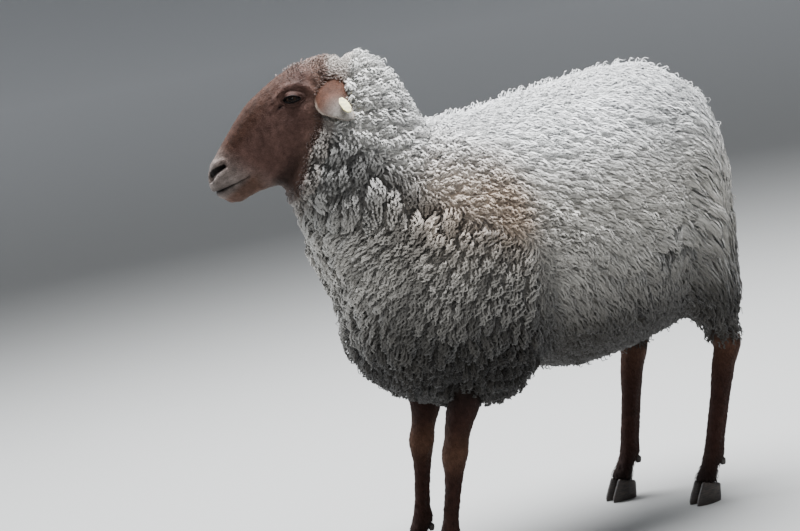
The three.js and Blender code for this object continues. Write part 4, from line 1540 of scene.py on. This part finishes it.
def makeHornMaterial():
    material, tree, shader = newMaterial("hoofHorn", {"Roughness": 0.5})
    place = addNode(tree, "TexCoord")
    stretch = addNode(tree, "Mapping", {"Scale": (1, 1, 6)})
    noise = addNode(tree, "TexNoise", {"Scale": 90})
    ramp = addRamp(tree, [(0.35, linear(30, 25, 23)), (0.75, linear(62, 52, 45))])
    relief = addNode(tree, "Bump", {"Strength": 0.4, "Distance": 0.001})
    wire(place, "Object", stretch, "Vector")
    wire(stretch, "Vector", noise, "Vector")
    wire(noise, "Fac", ramp, "Fac")
    wire(ramp, "Color", shader, "Base Color")
    wire(noise, "Fac", relief, "Height")
    wire(relief, "Normal", shader, "Normal")
    return material


def makeTagMaterial():
    material, tree, shader = newMaterial("tagPlastic", {"Roughness": 0.42})
    place = addNode(tree, "TexCoord")
    noise = addNode(tree, "TexNoise", {"Scale": 160, "Detail": 5})
    ramp = addRamp(tree, [(0.38, linear(150, 140, 78)), (0.6, linear(204, 194, 112))])
    wire(place, "Object", noise, "Vector")
    wire(noise, "Fac", ramp, "Fac")
    wire(ramp, "Color", shader, "Base Color")
    return material


hornMaterial = makeHornMaterial()
tagMaterial = makeTagMaterial()
hoofValues = {"voxel": 2.0 * mm, "rounds": 12, "ring": 0.22 * mm, "ringApart": 4.5 * mm}


# A claw's rounded wall, with its growth rings, on its flat sole
def makeHoof(node):
    hoof = joinedCopy(node + "_horn", [node])
    applyModifier(hoof, "REMESH", mode="VOXEL", voxel_size=hoofValues["voxel"], adaptivity=0)
    mesh = hoof.data
    points, edges = positionsOf(mesh), edgesOf(mesh)
    low = points[:, 2].min()
    for step in range(hoofValues["rounds"]):
        points = points + 0.5 * (neighbourMean(points, edges) - points)
        points[:, 2] = np.where(points[:, 2] < low + 2.5 * mm, low, points[:, 2])
    setPositions(mesh, points)
    phase = points[:, 2] / hoofValues["ringApart"] * 2 * math.pi + ripple(points, 0.03, 91)
    rings = hoofValues["ring"] * np.sin(phase)
    wall = smoothstep(low + 2 * mm, low + 5 * mm, points[:, 2])[:, None]
    setPositions(mesh, points + normalsOf(mesh) * (rings[:, None] + 0.6 * mm) * wall)
    makeActive(hoof)
    bpy.ops.object.shade_smooth_by_angle(angle=math.radians(60))
    hoof.data.materials.append(hornMaterial)
    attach(hoof, "root")
    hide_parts(node)


for leg in legNames:
    for part in ("claw_outer", "claw_inner", "dewclaw_outer", "dewclaw_inner"):
        makeHoof(f"{leg}_{part}")
tagEdge = {"width": 0.4 * mm, "segments": 2, "limit_method": "ANGLE", "angle_limit": math.radians(50)}
for node in ("ear_tag_front", "ear_tag_back"):
    plate = joinedCopy(node + "_plastic", [node])
    applyModifier(plate, "BEVEL", **tagEdge)
    makeActive(plate)
    bpy.ops.object.shade_smooth_by_angle(angle=math.radians(40))
    plate.data.materials.append(tagMaterial)
    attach(plate, "root")
    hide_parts(node)
print("eyes, hooves and tag are made")
